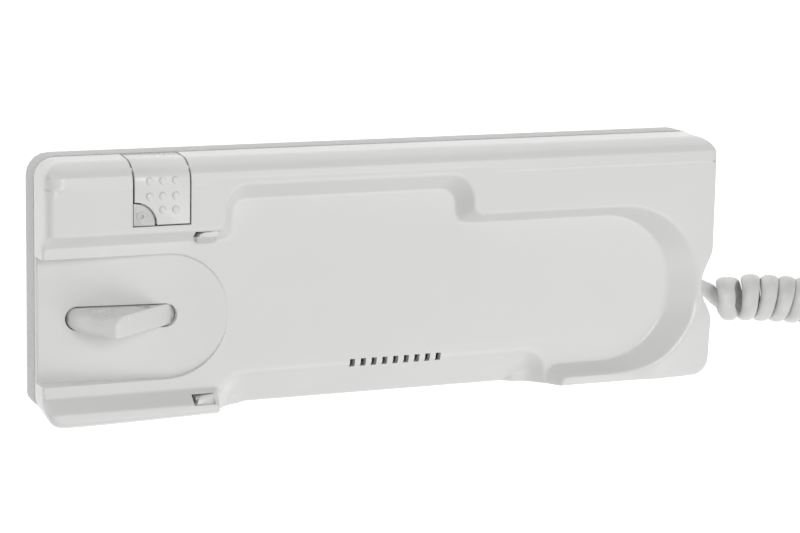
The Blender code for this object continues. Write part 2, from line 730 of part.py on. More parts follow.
def make_button(material):
    """The key cap wraps over the high side's edge, and tips about trunnions near that edge."""
    x0, x1 = BUTTON_X0 + RUN_GAP, BUTTON_X0 + BUTTON_WIDTH - RUN_GAP
    y0 = BUTTON_Y0 + RUN_GAP
    under = FRONT_Z - BUTTON_WALL
    joined = FRONT_Z - BUTTON_WALL / 2
    bottom = PARTING_Z + GAP + RUN_GAP / 2
    radius = BUTTON_EDGE_RADIUS
    profile = [(y0, FRONT_Z)] + arc((HIGH - radius, FRONT_Z - radius), radius, 90, 0, ARC_STEPS)
    profile += [(HIGH, bottom), (HIGH - BUTTON_WALL, bottom), (HIGH - BUTTON_WALL, under), (y0, under)]
    button = end_prism("door_release_button", profile, x0, x1, material)

    skirt_z = FRONT_Z - BUTTON_SKIRT
    lip = block("add_button_lip", (x0, y0, skirt_z), (x1, y0 + BUTTON_WALL, joined))
    boolean(button, lip, "UNION")
    inside_y = HIGH - BUTTON_WALL / 2
    for number, (near, far, out) in enumerate(((x0, x0 + BUTTON_WALL, -1), (x1 - BUTTON_WALL, x1, 1))):
        web = block(f"add_button_web_{number}", (near, y0, skirt_z), (far, inside_y, joined))
        boolean(button, web, "UNION")
        ear_y, ear_z = BUTTON_AXIS_Y - BUTTON_EAR_HALF, BUTTON_AXIS_Z - BUTTON_EAR_HALF
        ear = block(f"add_button_ear_{number}", (near, ear_y, ear_z), (far, inside_y, joined))
        boolean(button, ear, "UNION")
        middle = (near + far) / 2
        tip = (far if out > 0 else near) + out * TRUNNION_LENGTH
        axle = rod(f"add_trunnion_{number}", (middle, BUTTON_AXIS_Y, BUTTON_AXIS_Z),
                   (tip, BUTTON_AXIS_Y, BUTTON_AXIS_Z), TRUNNION_RADIUS, sides=14)
        boolean(button, axle, "UNION")
    x, y = door_switch_place()
    stem = rod("add_button_stem", (x, y, door_plunger_top() + GAP), (x, y, joined), BUTTON_STEM_RADIUS)
    boolean(button, stem, "UNION")
    corner = prism("cut_tile_corner", [(BUTTON_X0 - RUN_GAP, BUTTON_Y0 - RUN_GAP)]
                   + arc((BUTTON_X0, BUTTON_Y0), TILE_RADIUS + RUN_GAP, -4, 94, 10), 0.0, FRONT_Z + CLEAR)
    boolean(button, corner)

    dots = bmesh.new()
    for x, y in dot_places():
        add_rod(dots, (x, y, joined), (x, y, FRONT_Z + DOT_HEIGHT), DOT_RADIUS, 0.6 * DOT_RADIUS, 10)
    boolean(button, add_object("add_dots", dots), "UNION")
    set_origin(button, (BUTTON_X0 + BUTTON_WIDTH / 2, BUTTON_AXIS_Y, BUTTON_AXIS_Z))


def dot_places():
    """A grid of dots that fills the key top, apart from the corner that holds the tile."""
    rows = int((HIGH - DOT_MARGIN_Y - DOT_PITCH_Y - BUTTON_Y0) / DOT_PITCH_Y) + 1
    places = []
    for row in range(rows):
        for column in range(DOT_COLUMNS):
            x = BUTTON_X0 + BUTTON_WIDTH - RUN_GAP - DOT_MARGIN_X - DOT_PITCH_X * column
            y = HIGH - DOT_MARGIN_Y - DOT_PITCH_Y * row
            if math.hypot(x - BUTTON_X0, y - BUTTON_Y0) > TILE_RADIUS + RUN_GAP + DOT_ROOM + DOT_RADIUS:
                places.append((x, y))
    return places


def make_tile(material):
    x, y = BUTTON_X0 + GAP, BUTTON_Y0 + GAP
    tile = prism("key_symbol_tile", [(x, y)] + arc((x, y), TILE_RADIUS - GAP, 0, 90, 8),
                 FRONT_Z - TILE_THICKNESS, FRONT_Z, material)
    bow_x, bow_y = x + TILE_RADIUS / 3, y + 0.4 * TILE_RADIUS
    sunk, top = FRONT_Z - KEY_RELIEF, FRONT_Z + KEY_RELIEF
    stem = block("add_key_stem", (bow_x - KEY_STEM_WIDTH / 2, bow_y - KEY_STEM_LENGTH, sunk),
                 (bow_x + KEY_STEM_WIDTH / 2, bow_y - KEY_BOW_HOLE, FRONT_Z + KEY_RELIEF / 2))
    boolean(tile, stem, "UNION")
    bow = rod("add_key_bow", (bow_x, bow_y, sunk), (bow_x, bow_y, top), KEY_BOW_RADIUS, sides=14)
    boolean(tile, bow, "UNION")
    hole = rod("cut_key_bow", (bow_x, bow_y, sunk), (bow_x, bow_y, top + CLEAR), KEY_BOW_HOLE, sides=10)
    boolean(tile, hole)


def lever_profile():
    """Side outline in x and z: a face that follows the swing, the ridge, the ramp, the tail and the hub."""
    x, z = LEVER_AXIS_X, LEVER_AXIS_Z
    face = arc((x, z), LEVER_REACH, 179, 151, 7)
    ridge = [(LEVER_APEX_X - LEVER_RIDGE, LEVER_APEX_Z - LEVER_RIDGE / 3), (LEVER_APEX_X, LEVER_APEX_Z)]
    slot_end = SLOT_X + SLOT_LENGTH - SLOT_WIDTH / 4
    ramp = [(slot_end, recess_floor(slot_end) - WALL - RUN_GAP)]
    hub = arc((x, z), LEVER_HUB_RADIUS, 125, 45, 4)
    tail_x = x + LEVER_TAIL_LENGTH
    tail_under = lever_tail_under()
    tail = [(tail_x, tail_under + LEVER_TAIL_THICKNESS), (tail_x, tail_under),
            (x + LEVER_HUB_RADIUS, tail_under)]
    under = arc((x, z), LEVER_HUB_RADIUS, -20, -100, ARC_STEPS)
    return face + ridge + ramp + hub + tail + under


def lever_pocket():
    """Side outline of the hollow under the lever, which is open below."""
    x, z = LEVER_AXIS_X, LEVER_AXIS_Z
    front = x - LEVER_REACH + LEVER_WALL
    roof = LEVER_APEX_Z - 3 * LEVER_WALL
    back = x - 2.4 * LEVER_HUB_RADIUS
    return [(front, z - CLEAR), (front + LEVER_WALL, z + CLEAR), (LEVER_APEX_X - LEVER_WALL, roof),
            (LEVER_APEX_X + LEVER_WALL, roof), (back, z + LEVER_WALL), (back, z - CLEAR)]


def lever_tail_under():
    return LEVER_AXIS_Z + LEVER_HUB_RADIUS / 2 - LEVER_TAIL_THICKNESS + RUN_GAP


def make_lever(material):
    half = LEVER_WIDTH / 2
    x, y, z = LEVER_AXIS_X, AXIS_Y, LEVER_AXIS_Z
    lever = side_prism("hook_lever", lever_profile(), y - half, y + half, material)
    beyond = x + LEVER_TAIL_LENGTH + CLEAR
    end = [(beyond, y - half - GAP), (beyond, y + half + GAP)]
    end += arc((x - LEVER_REACH + half + RUN_GAP, y), half + GAP, 90, 270, 10)
    boolean(lever, prism("trim_lever_end", end, -CLEAR, LEVER_APEX_Z + CLEAR), "INTERSECT")
    inside = half - LEVER_WALL
    boolean(lever, side_prism("cut_lever_pocket", lever_pocket(), y - inside, y + inside))
    boolean(lever, rod("cut_lever_bore", (x, y - CLEAR, z), (x, y + CLEAR, z), PIN_RADIUS + GAP, sides=14))
    pocket_radius = LEVER_HUB_RADIUS + LEVER_HEADROOM
    boolean(lever, rod("cut_spring_pocket", (x, y, z), (x, y + CLEAR, z), pocket_radius, sides=16))
    set_origin(lever, (x, y, z))


def make_lever_hardware(steel):
    (low_y, _), (_, high_y) = lever_post_spans()
    x, z = LEVER_AXIS_X, LEVER_AXIS_Z
    rod("lever_pin", (x, low_y + GAP, z), (x, high_y - GAP, z), PIN_RADIUS, steel, sides=16)
    base = (x, AXIS_Y + RUN_GAP + SPRING_WIRE / 2, z)
    radius = PIN_RADIUS + RUN_GAP + SPRING_WIRE / 2
    turns = 3
    height = LEVER_WIDTH / 2 - 2 * RUN_GAP - SPRING_WIRE
    tube("lever_spring", coil_points(base, (0, 1, 0), radius, height, turns, 12), SPRING_WIRE / 2, steel, 1)


def door_switch_place():
    return BUTTON_X0 + BUTTON_WIDTH / 2, BUTTON_Y0 + DOOR_SWITCH_INSET


def door_plunger_top():
    return BOARD_TOP + SWITCH_HEIGHT + DOOR_PLUNGER_STROKE


def make_switch(name, place, plunger_top, body_top, room, black, white):
    """A push switch on the board: a body with a well, and a plunger that slides in it with room below."""
    x, y = place
    half = SWITCH_SIZE / 2
    body = block(f"{name}_body", (x - half, y - half, PART_Z), (x + half, y + half, body_top), black)
    floor = PART_Z + SWITCH_WELL_FLOOR
    well = rod(f"cut_{name}_well", (x, y, floor), (x, y, body_top + CLEAR), PLUNGER_RADIUS + GAP, sides=14)
    boolean(body, well)
    plunger = rod(f"{name}_plunger", (x, y, floor + room), (x, y, plunger_top), PLUNGER_RADIUS, white, sides=14)
    set_origin(plunger, (x, y, plunger_top))


def make_switches(black, white):
    stroke = DOOR_PLUNGER_STROKE
    door_top = door_plunger_top()
    make_switch("door_switch", door_switch_place(), door_top, door_top - stroke, stroke, black, white)
    hook_top = lever_tail_under() - GAP
    hook_place = (LEVER_AXIS_X + HOOK_SWITCH_ARM, AXIS_Y)
    make_switch("hook_switch", hook_place, hook_top, hook_top - GAP, GAP, black, white)


def make_button_spring(steel):
    x = BUTTON_X0 + BUTTON_WIDTH / 2 + BUTTON_SPRING_SHIFT
    y = (BUTTON_Y0 + HIGH) / 2
    start = PART_Z + SPRING_WIRE / 2
    height = FRONT_Z - BUTTON_WALL - GAP - SPRING_WIRE / 2 - start
    points = coil_points((x, y, start), (0, 0, 1), BUTTON_SPRING_RADIUS, height, 8)
    tube("button_spring", points, SPRING_WIRE / 2, steel, 1)


# Electrics

def make_board(material):
    tongue_y = BOARD_Y1 - TONGUE_WIDTH
    neck_x = BOARD_X0 + TONGUE_NECK
    outline = [(BOARD_X0, BOARD_Y0), (BOARD_X1, BOARD_Y0), (BOARD_X1, BOARD_Y1), (TONGUE_X0, BOARD_Y1),
               (TONGUE_X0, tongue_y), (neck_x, tongue_y), (neck_x, tongue_y - BOARD_NOTCH),
               (BOARD_X0, tongue_y - BOARD_NOTCH)]
    board = prism("circuit_board", outline, BOARD_Z, BOARD_TOP, material)
    holes = bmesh.new()
    for x, y in board_screw_places():
        add_rod(holes, (x, y, 0.0), (x, y, CLEAR), SCREW_RADIUS + GAP, sides=12)
    boolean(board, add_object("cut_board_holes", holes))


def make_board_screws(steel):
    top = PART_Z + SCREW_HEAD_HEIGHT
    for number, (x, y) in enumerate(board_screw_places(), 1):
        shank_top = PART_Z + SCREW_HEAD_HEIGHT / 2
        screw = rod(f"board_screw_{number}", (x, y, WALL / 2), (x, y, shank_top), SCREW_RADIUS, steel,
                    sides=12)
        head = rod(f"add_screw_head_{number}", (x, y, PART_Z), (x, y, top), SCREW_HEAD_RADIUS,
                   sides=14, end_radius=0.8 * SCREW_HEAD_RADIUS)
        boolean(screw, head, "UNION")
        boolean(screw, screw_slot(f"cut_screw_slot_{number}", x, y, top, SCREW_HEAD_RADIUS))


def screw_slot(name, x, y, top, radius):
    reach = 2 * radius
    half = SCREW_SLOT / 2
    return block(name, (x - reach, y - half, top - SCREW_SLOT), (x + reach, y + half, top + CLEAR))


def sounder_x():
    return VENT_X0 + VENT_PITCH * (VENT_COUNT - 1) / 2


def make_sounder(black):
    x, y = sounder_x(), AXIS_Y
    top = TROUGH_Z - WALL - SOUNDER_HEADROOM
    sounder = rod("sounder", (x, y, PART_Z), (x, y, top), SOUNDER_RADIUS, black, sides=28)
    port = rod("cut_sounder_port", (x, y, top - WALL / 2), (x, y, top + CLEAR), SOUNDER_PORT_RADIUS, sides=12)
    boolean(sounder, port)
    add_bevel(sounder, SCREW_SLOT, 1, 60)


def make_transformer(copper, iron):
    tip = PLUG_BACK_X - PLUG_LENGTH
    x, y = (sounder_x() + SOUNDER_RADIUS + tip) / 2, AXIS_Y + CORE_SHIFT_Y
    half_x, half_y, top = CORE_SIZE[0] / 2, CORE_SIZE[1] / 2, PART_Z + CORE_SIZE[2]
    core = block("transformer_core", (x - half_x, y - half_y, PART_Z), (x + half_x, y + half_y, top), iron)
    inside = half_x - CORE_LIMB
    low_z, high_z = PART_Z + CORE_YOKE, top - CORE_YOKE
    boolean(core, block("cut_core_window", (x - inside, y - CLEAR, low_z), (x + inside, y + CLEAR, high_z)))
    half_length = WINDING_LENGTH / 2
    winding = block("transformer_winding", (x - inside + GAP, y - half_length, low_z + GAP),
                    (x + inside - GAP, y + half_length, high_z - GAP), copper)
    add_bevel(winding, 2 * GAP, 1)


def make_terminals(green, steel):
    x1, y0 = BOARD_X1 - TERMINAL_END_INSET, BOARD_Y1 - TERMINAL_INSET
    x0, y1 = x1 - TERMINAL_WAYS * TERMINAL_PITCH, y0 + TERMINAL_DEPTH
    top = PART_Z + TERMINAL_HEIGHT
    seat = top - TERMINAL_SCREW_DEPTH
    screw_y = y0 + 0.6 * TERMINAL_DEPTH
    strip = block("terminal_block", (x0, y0, PART_Z), (x1, y1, top), green)
    width, height = WIRE_ENTRY
    for number in range(1, TERMINAL_WAYS + 1):
        x = x0 + TERMINAL_PITCH * (number - 0.5)
        boolean(strip, rod(f"cut_terminal_well_{number}", (x, screw_y, seat), (x, screw_y, top + CLEAR),
                           TERMINAL_SCREW_RADIUS + GAP, sides=12))
        entry_z = PART_Z + WIRE_ENTRY_SILL
        boolean(strip, block(f"cut_wire_entry_{number}", (x - width / 2, y0 - CLEAR, entry_z),
                             (x + width / 2, y0 + 0.4 * TERMINAL_DEPTH, entry_z + height)))
        screw_top = top - SCREW_HEAD_HEIGHT
        screw = rod(f"terminal_screw_{number}", (x, screw_y, seat + GAP), (x, screw_y, screw_top),
                    TERMINAL_SCREW_RADIUS, steel, sides=12)
        slot = screw_slot(f"cut_terminal_slot_{number}", x, screw_y, screw_top, TERMINAL_SCREW_RADIUS)
        boolean(screw, slot)


def make_chip(black):
    x, y = BOARD_X0 + CHIP_SHIFT[0], AXIS_Y + CHIP_SHIFT[1]
    half_x, half_y, top = CHIP_SIZE[0] / 2, CHIP_SIZE[1] / 2, PART_Z + CHIP_SIZE[2]
    block("audio_chip", (x - half_x, y - half_y, PART_Z), (x + half_x, y + half_y, top), black)


def make_capacitors(blue):
    top = PART_Z + CAPACITOR_HEIGHT
    start, y = BOARD_X0 + CAPACITOR_START, AXIS_Y + CAPACITOR_SHIFT_Y
    places = [(start, y), (start + CAPACITOR_PITCH, y),
              (BOARD_X1 + FILTER_SHIFT[0], AXIS_Y + FILTER_SHIFT[1])]
    for number, (x, y) in enumerate(places, 1):
        can = rod(f"capacitor_{number}", (x, y, PART_Z), (x, y, top), CAPACITOR_RADIUS, blue, sides=16)
        add_bevel(can, RUN_GAP, 1, 60)


def make_resistors(tan):
    y, z = AXIS_Y + RESISTOR_SHIFT_Y, PART_Z + RESISTOR_RADIUS
    half = RESISTOR_LENGTH / 2
    for number in range(RESISTOR_COUNT):
        x = BOARD_X0 + RESISTOR_START + RESISTOR_PITCH * number
        rod(f"resistor_{number + 1}", (x, y - half, z), (x, y + half, z), RESISTOR_RADIUS, tan, sides=10)


def make_trimmer(blue, tan):
    x, y = BOARD_X0 + TRIMMER_START, BOARD_Y1 - TRIMMER_INSET
    half, top, seat = TRIMMER_SIZE / 2, PART_Z + TRIMMER_HEIGHT, PART_Z + ROTOR_SEAT
    trimmer = block("volume_trimmer", (x - half, y - half, PART_Z), (x + half, y + half, top), blue)
    well = rod("cut_trimmer_well", (x, y, seat), (x, y, top + CLEAR), ROTOR_RADIUS + RUN_GAP, sides=16)
    boolean(trimmer, well)
    rotor_top = top + SCREW_SLOT
    rotor = rod("trimmer_rotor", (x, y, seat + GAP), (x, y, rotor_top), ROTOR_RADIUS, tan, sides=16)
    boolean(rotor, screw_slot("cut_rotor_slot", x, y, rotor_top, ROTOR_RADIUS))


# Jack, plugs and cord

def make_jack(black):
    half_y, half_z = PLUG_WIDTH / 2 + GAP, PLUG_HEIGHT / 2 + GAP
    tip = PLUG_BACK_X - PLUG_LENGTH
    mouth = PLUG_BACK_X - JACK_SHORT
    jack = block("handset_jack", (tip - JACK_SHORT, AXIS_Y - half_y - JACK_WALL, PART_Z),
                 (mouth, AXIS_Y + half_y + JACK_WALL, PLUG_Z + half_z + JACK_WALL), black)
    cavity = block("cut_jack_cavity", (tip - GAP, AXIS_Y - half_y, PLUG_Z - half_z),
                   (mouth + CLEAR, AXIS_Y + half_y, PLUG_Z + half_z))
    boolean(jack, cavity)


def make_plug(name, back, material, gold):
    """A modular plug that points along -X, from the middle of its back, with its contact blades."""
    x, y, z = back
    tip = x - PLUG_LENGTH
    top = z + PLUG_HEIGHT / 2
    body = block(name, (tip, y - PLUG_WIDTH / 2, z - PLUG_HEIGHT / 2), (x, y + PLUG_WIDTH / 2, top), material)
    near, far = tip + CONTACT_BACK, tip + CONTACT_BACK + CONTACT_LENGTH
    half = (CONTACT_COUNT / 2 + 0.3) * CONTACT_PITCH
    floor = top - CONTACT_DEPTH
    boolean(body, block(f"cut_{name}_recess", (near, y - half, floor), (far, y + half, top + CLEAR)))
    for number in range(1, CONTACT_COUNT + 1):
        middle = y + (number - (CONTACT_COUNT + 1) / 2) * CONTACT_PITCH
        block(f"{name}_contact_{number}", (near + GAP, middle - CONTACT_THICKNESS / 2, floor + GAP),
              (far - GAP, middle + CONTACT_THICKNESS / 2, top - GAP), gold)


def make_cord(white, clear, gold):
    tube("cord_lead", smooth_route(LEAD_ROUTE, TUBE_STEP), LEAD_RADIUS, white, 2)
    axis = [(x, y, COIL_Z) for x, y in COIL_ROUTE]
    tube("cord_curl", smooth_route(axis, 2 * TUBE_STEP), COIL_RADIUS, white, 4)
    tube("cord_tail", smooth_route(TAIL_ROUTE, TUBE_STEP), LEAD_RADIUS, white, 2)
    make_plug("inner_plug", (PLUG_BACK_X, AXIS_Y, PLUG_Z), clear, gold)
    x, y, z = TAIL_ROUTE[-1]
    make_plug("cord_plug", (x - GAP, y, z), clear, gold)


def build():
    abs_white = make_material("Moulded ABS, light grey", (0.72, 0.72, 0.71), 0.28)
    plate_grey = make_material("Moulded ABS, wall plate", (0.66, 0.66, 0.65), 0.40)
    key_white = make_material("Moulded ABS, key", (0.70, 0.70, 0.69), 0.30)
    black = make_material("Moulded phenolic, black", (0.02, 0.02, 0.02), 0.45)
    steel = make_material("Zinc plated steel", (0.60, 0.60, 0.58), 0.35, 1.0)
    board_green = make_material("Glass epoxy board", (0.03, 0.16, 0.07), 0.40)
    block_green = make_material("Nylon terminal block", (0.05, 0.25, 0.12), 0.45)
    copper = make_material("Enamelled copper winding", (0.55, 0.22, 0.08), 0.35, 0.6)
    iron = make_material("Laminated core steel", (0.22, 0.22, 0.23), 0.50, 0.8)
    blue = make_material("Capacitor sleeve", (0.03, 0.07, 0.25), 0.35)
    tan = make_material("Resistor lacquer", (0.55, 0.42, 0.26), 0.50)
    cord_white = make_material("Flexible PVC, cord", (0.74, 0.74, 0.73), 0.38)
    clear = make_material("Clear polycarbonate", (0.80, 0.82, 0.83), 0.12)
    gold = make_material("Gold plated contacts", (0.83, 0.62, 0.25), 0.25, 1.0)

    make_cover(abs_white)
    make_wall_plate(plate_grey)
    make_button(key_white)
    make_tile(key_white)
    make_lever(key_white)
    make_lever_hardware(steel)
    make_switches(black, cord_white)
    make_button_spring(steel)
    make_board(board_green)
    make_board_screws(steel)
    make_sounder(black)
    make_transformer(copper, iron)
    make_terminals(block_green, steel)
    make_chip(black)
    make_capacitors(blue)
    make_resistors(tan)
    make_trimmer(blue, tan)
    make_jack(black)
    make_cord(cord_white, clear, gold)


clear_scene()
PARTS = make_collection("slimline_wall_phone")
CUTTERS = make_collection("cutters")
build()
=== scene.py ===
"""Looks of the slimline wall phone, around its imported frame.

+X runs to the cord end, +Y to the key side, +Z out of the front. Metres, with MM for sizes in millimetres.
"""
import json
import math

import bmesh
import bpy
import numpy as np
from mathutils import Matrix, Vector, geometry


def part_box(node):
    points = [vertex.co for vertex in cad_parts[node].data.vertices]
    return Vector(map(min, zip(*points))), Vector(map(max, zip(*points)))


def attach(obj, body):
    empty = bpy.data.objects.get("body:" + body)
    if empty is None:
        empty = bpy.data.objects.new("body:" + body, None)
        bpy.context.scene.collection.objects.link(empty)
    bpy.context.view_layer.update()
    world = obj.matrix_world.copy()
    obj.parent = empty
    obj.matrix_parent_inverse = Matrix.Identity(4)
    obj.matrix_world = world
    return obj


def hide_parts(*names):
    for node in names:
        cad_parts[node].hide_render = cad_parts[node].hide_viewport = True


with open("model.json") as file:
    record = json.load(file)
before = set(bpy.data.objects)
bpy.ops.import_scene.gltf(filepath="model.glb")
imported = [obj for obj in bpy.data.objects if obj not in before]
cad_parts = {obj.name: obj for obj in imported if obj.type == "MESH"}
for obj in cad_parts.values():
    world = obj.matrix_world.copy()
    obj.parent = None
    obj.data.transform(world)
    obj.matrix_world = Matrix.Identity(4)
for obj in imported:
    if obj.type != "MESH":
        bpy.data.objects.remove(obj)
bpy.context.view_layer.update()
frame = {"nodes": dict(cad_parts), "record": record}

MM = 0.001


# Small helpers

def deselect_all():
    """Leaves nothing selected."""
    for item in list(bpy.context.selected_objects):
        item.select_set(False)


def select_only(item):
    """Selects one object and makes it the active one."""
    deselect_all()
    item.select_set(True)
    bpy.context.view_layer.objects.active = item


def finish_mesh(name, bm):
    """A bmesh as a named piece at the origin."""
    mesh = bpy.data.meshes.new(name)
    bm.to_mesh(mesh)
    bm.free()
    piece = bpy.data.objects.new(name, mesh)
    bpy.context.scene.collection.objects.link(piece)
    return piece


def shade(piece, angle=None):
    """Smooth shading, with sharp edges above the angle in degrees where one is given."""
    select_only(piece)
    if angle is None:
        bpy.ops.object.shade_smooth()
    else:
        bpy.ops.object.shade_smooth_by_angle(angle=math.radians(angle))


def add_modifier(piece, kind, **settings):
    """Adds a modifier with its settings and applies it."""
    select_only(piece)
    modifier = piece.modifiers.new(kind.lower(), kind)
    for name, value in settings.items():
        setattr(modifier, name, value)
    bpy.ops.object.modifier_apply(modifier=modifier.name)


def soften_edges(piece, width, segments=3, angle=30):
    """Rounds the edges that are sharper than an angle in degrees, by a width in millimetres."""
    add_modifier(piece, "BEVEL", width=width * MM, segments=segments, limit_method="ANGLE",
                 angle_limit=math.radians(angle), use_clamp_overlap=True, harden_normals=False)


def cut(piece, cutter):
    """Cuts one closed mesh out of another and removes it."""
    add_modifier(piece, "BOOLEAN", object=cutter, operation="DIFFERENCE", solver="EXACT")
    bpy.data.objects.remove(cutter)


def joined(pieces):
    """Several meshes made one, in the first of them."""
    deselect_all()
    for piece in pieces:
        piece.select_set(True)
    bpy.context.view_layer.objects.active = pieces[0]
    bpy.ops.object.join()
    return pieces[0]


def set_place(piece):
    """Puts a piece's move, turn and scale into its mesh."""
    select_only(piece)
    bpy.ops.object.transform_apply(location=True, rotation=True, scale=True)


# Camera

def make_camera():
    """Looks down from the ear end and the high side, a long lens close to the whole length."""
    data = bpy.data.cameras.new("camera")
    data.sensor_width, data.lens = 36.0, 120.28
    data.clip_start, data.clip_end = 0.05, 20.0
    camera = bpy.data.objects.new("camera", data)
    camera.location = (-0.31496, 0.15405, 0.75664)
    camera.rotation_euler = [math.radians(a) for a in (-11.1422, -23.0467, 1.1794)]
    bpy.context.scene.collection.objects.link(camera)
    bpy.context.scene.camera = camera


make_camera()


# Curly cord

CORD_WIDTH = 5.4 * MM
CORD_THICKNESS = 3.4 * MM
COIL_OUTER = 7.8 * MM
COIL_Z = 8.2 * MM
COIL_TURNS = 38
TURN_STEPS = 22
TAIL_REST_Z = 2.4 * MM

COIL_ROUTE = [
    (0.1205, -0.0163), (0.1267, -0.0166), (0.1333, -0.0171), (0.1427, -0.0180), (0.1515, -0.0192),
    (0.1650, -0.0212), (0.1800, -0.0231), (0.1960, -0.0236), (0.2095, -0.0189), (0.2200, -0.0082),
    (0.2252, 0.0060), (0.2238, 0.0213), (0.2154, 0.0343), (0.2020, 0.0410), (0.1885, 0.0405),
    (0.1768, 0.0331), (0.1697, 0.0216), (0.1687, 0.0090), (0.1738, -0.0013), (0.1825, -0.0064),
    (0.1920, -0.0075),
]
LEAD_ROUTE = [
    (0.0936, -0.0102, 0.0098), (0.0990, -0.0102, 0.0097), (0.1035, -0.0102, 0.0089),
    (0.1075, -0.0100, 0.0083), (0.1110, -0.0112, 0.0075), (0.1146, -0.0128, 0.0064),
    (0.1190, -0.0148, 0.0046),
]
LEAD_TURN_IN = (0.1240, -0.0196, 0.0032)
TAIL_ROUTE = [
    (0.1936, -0.0072, 0.0043), (0.1980, -0.0064, 0.0034), (0.2044, -0.0046, 0.0026),
    (0.2094, 0.0005, TAIL_REST_Z), (0.2112, 0.0073, TAIL_REST_Z), (0.2094, 0.0142, TAIL_REST_Z),
    (0.2044, 0.0192, 0.0026), (0.1980, 0.0210, 0.0034), (0.1932, 0.0210, 0.0036),
]
TAIL_TURN_OUT = (0.1904, -0.0062, 0.0036)


def smooth_route(points, step):
    """Points along a smooth curve through the given ones, an even step apart."""
    parts = 24
    route = [Vector(p) for p in points]
    ends = [2 * route[0] - route[1]] + route + [2 * route[-1] - route[-2]]
    fine = []
    for a, b, c, d in zip(ends, ends[1:], ends[2:], ends[3:]):
        for index in range(parts):
            t = index / parts
            fine.append(0.5 * (2 * b + (c - a) * t + (2 * a - 5 * b + 4 * c - d) * t ** 2
                               + (3 * b - a - 3 * c + d) * t ** 3))
    fine.append(route[-1])
    lengths = [0.0]
    for a, b in zip(fine, fine[1:]):
        lengths.append(lengths[-1] + (b - a).length)
    count = max(2, round(lengths[-1] / step))
    even, index = [], 0
    for number in range(count + 1):
        wanted = lengths[-1] * number / count
        while index < len(fine) - 2 and lengths[index + 1] < wanted:
            index += 1
        span = lengths[index + 1] - lengths[index]
        share = (wanted - lengths[index]) / span if span else 0.0
        even.append(fine[index].lerp(fine[index + 1], min(1.0, share)))
    return even


def route_length(points):
    """The length along a row of points."""
    return sum((b - a).length for a, b in zip(points, points[1:]))


def first_turns(turn):
    """How far a turn sits back towards the exit: the first ones crowd there, most of all on their +Y side."""
    crowding, fading = 7.3 * MM, 1.25
    tuck, tuck_at, tuck_width = 1.6 * MM, 0.22, 0.16
    back = crowding * math.exp(-turn / fading) * (1 - math.cos(2 * math.pi * turn)) / 2
    return -back - tuck * math.exp(-((turn - tuck_at) / tuck_width) ** 2)


def curl_points():
    """The helix along its bent axis: centre points, the outward direction and the strand's width at each."""
    axis_step, look = 0.5 * MM, 4
    axis = smooth_route([(x, y, COIL_Z) for x, y in COIL_ROUTE], axis_step)
    reach = route_length(axis)
    start, end = 4.5 * MM, reach - 5.0 * MM
    tight_turns, tight_pitch = 5, 6.0 * MM
    last_turn = COIL_TURNS - 0.4
    even_pitch = (end - start - tight_turns * tight_pitch) / (last_turn - tight_turns)
    radius = COIL_OUTER - CORD_THICKNESS / 2
    lean = 0.36
    # The first turn is pinched, and on the +Y side of the first few the strand lies with its broad face out
    pinch, pinch_at, pinch_width = 0.16, 0.55, 0.28
    swell, swell_turns = 0.24, 6
    points, outward, widths = [], [], []
    for index in range(round(last_turn * TURN_STEPS) + 1):
        turn = index / TURN_STEPS
        angle = 2 * math.pi * turn
        along = start + tight_pitch * min(turn, tight_turns) + even_pitch * max(0.0, turn - tight_turns)
        along += first_turns(turn) - lean * radius * math.sin(angle)
        place = min(max(along / reach, 0.0), 1.0) * (len(axis) - 1)
        low = min(int(place), len(axis) - 2)
        middle = axis[low].lerp(axis[low + 1], place - low)
        forward = (axis[min(low + look, len(axis) - 1)] - axis[max(low - look, 0)]).normalized()
        left = Vector((-forward.y, forward.x, 0.0))
        out = -math.cos(angle) * left + math.sin(angle) * Vector((0, 0, 1))
        tight = 1 - pinch * math.exp(-((turn - pinch_at) / pinch_width) ** 2)
        points.append(middle + radius * tight * out)
        outward.append(out)
        widths.append(CORD_WIDTH * (1 + swell * (1 - math.cos(angle)) / 2 * math.exp(-turn / swell_turns)))
    return points, outward, widths


def nearest(points, place):
    """The number of the point nearest to a place."""
    return min(range(len(points)), key=lambda number: (points[number] - place).length)


def cord_path():
    """The whole cord from the inner plug to the outer one, the direction of its thin side, and its widths."""
    curl, curl_out, curl_widths = curl_points()
    step = 1.8 * MM
    lead = smooth_route(LEAD_ROUTE + [LEAD_TURN_IN] + [tuple(p) for p in curl[:3:2]], step)
    tail = smooth_route([tuple(curl[-3]), tuple(curl[-1]), TAIL_TURN_OUT] + TAIL_ROUTE, step)
    before = lead[:nearest(lead, curl[0])]
    after = tail[nearest(tail, curl[-1]) + 1:]
    exit_side, rest_side = Vector((0, -0.3, 0.95)), Vector((0, 0, -1))
    turned = 9
    lead_out = [exit_side.lerp(curl_out[0], min(1.0, (n / len(before)) ** 2)).normalized()
                for n in range(len(before))]
    tail_out = [curl_out[-1].lerp(rest_side, min(1.0, (n + 1) / turned)).normalized()
                for n in range(len(after))]
    widths = [CORD_WIDTH] * len(before) + curl_widths + [CORD_WIDTH] * len(after)
    return before + curl + after, lead_out + curl_out + tail_out, widths


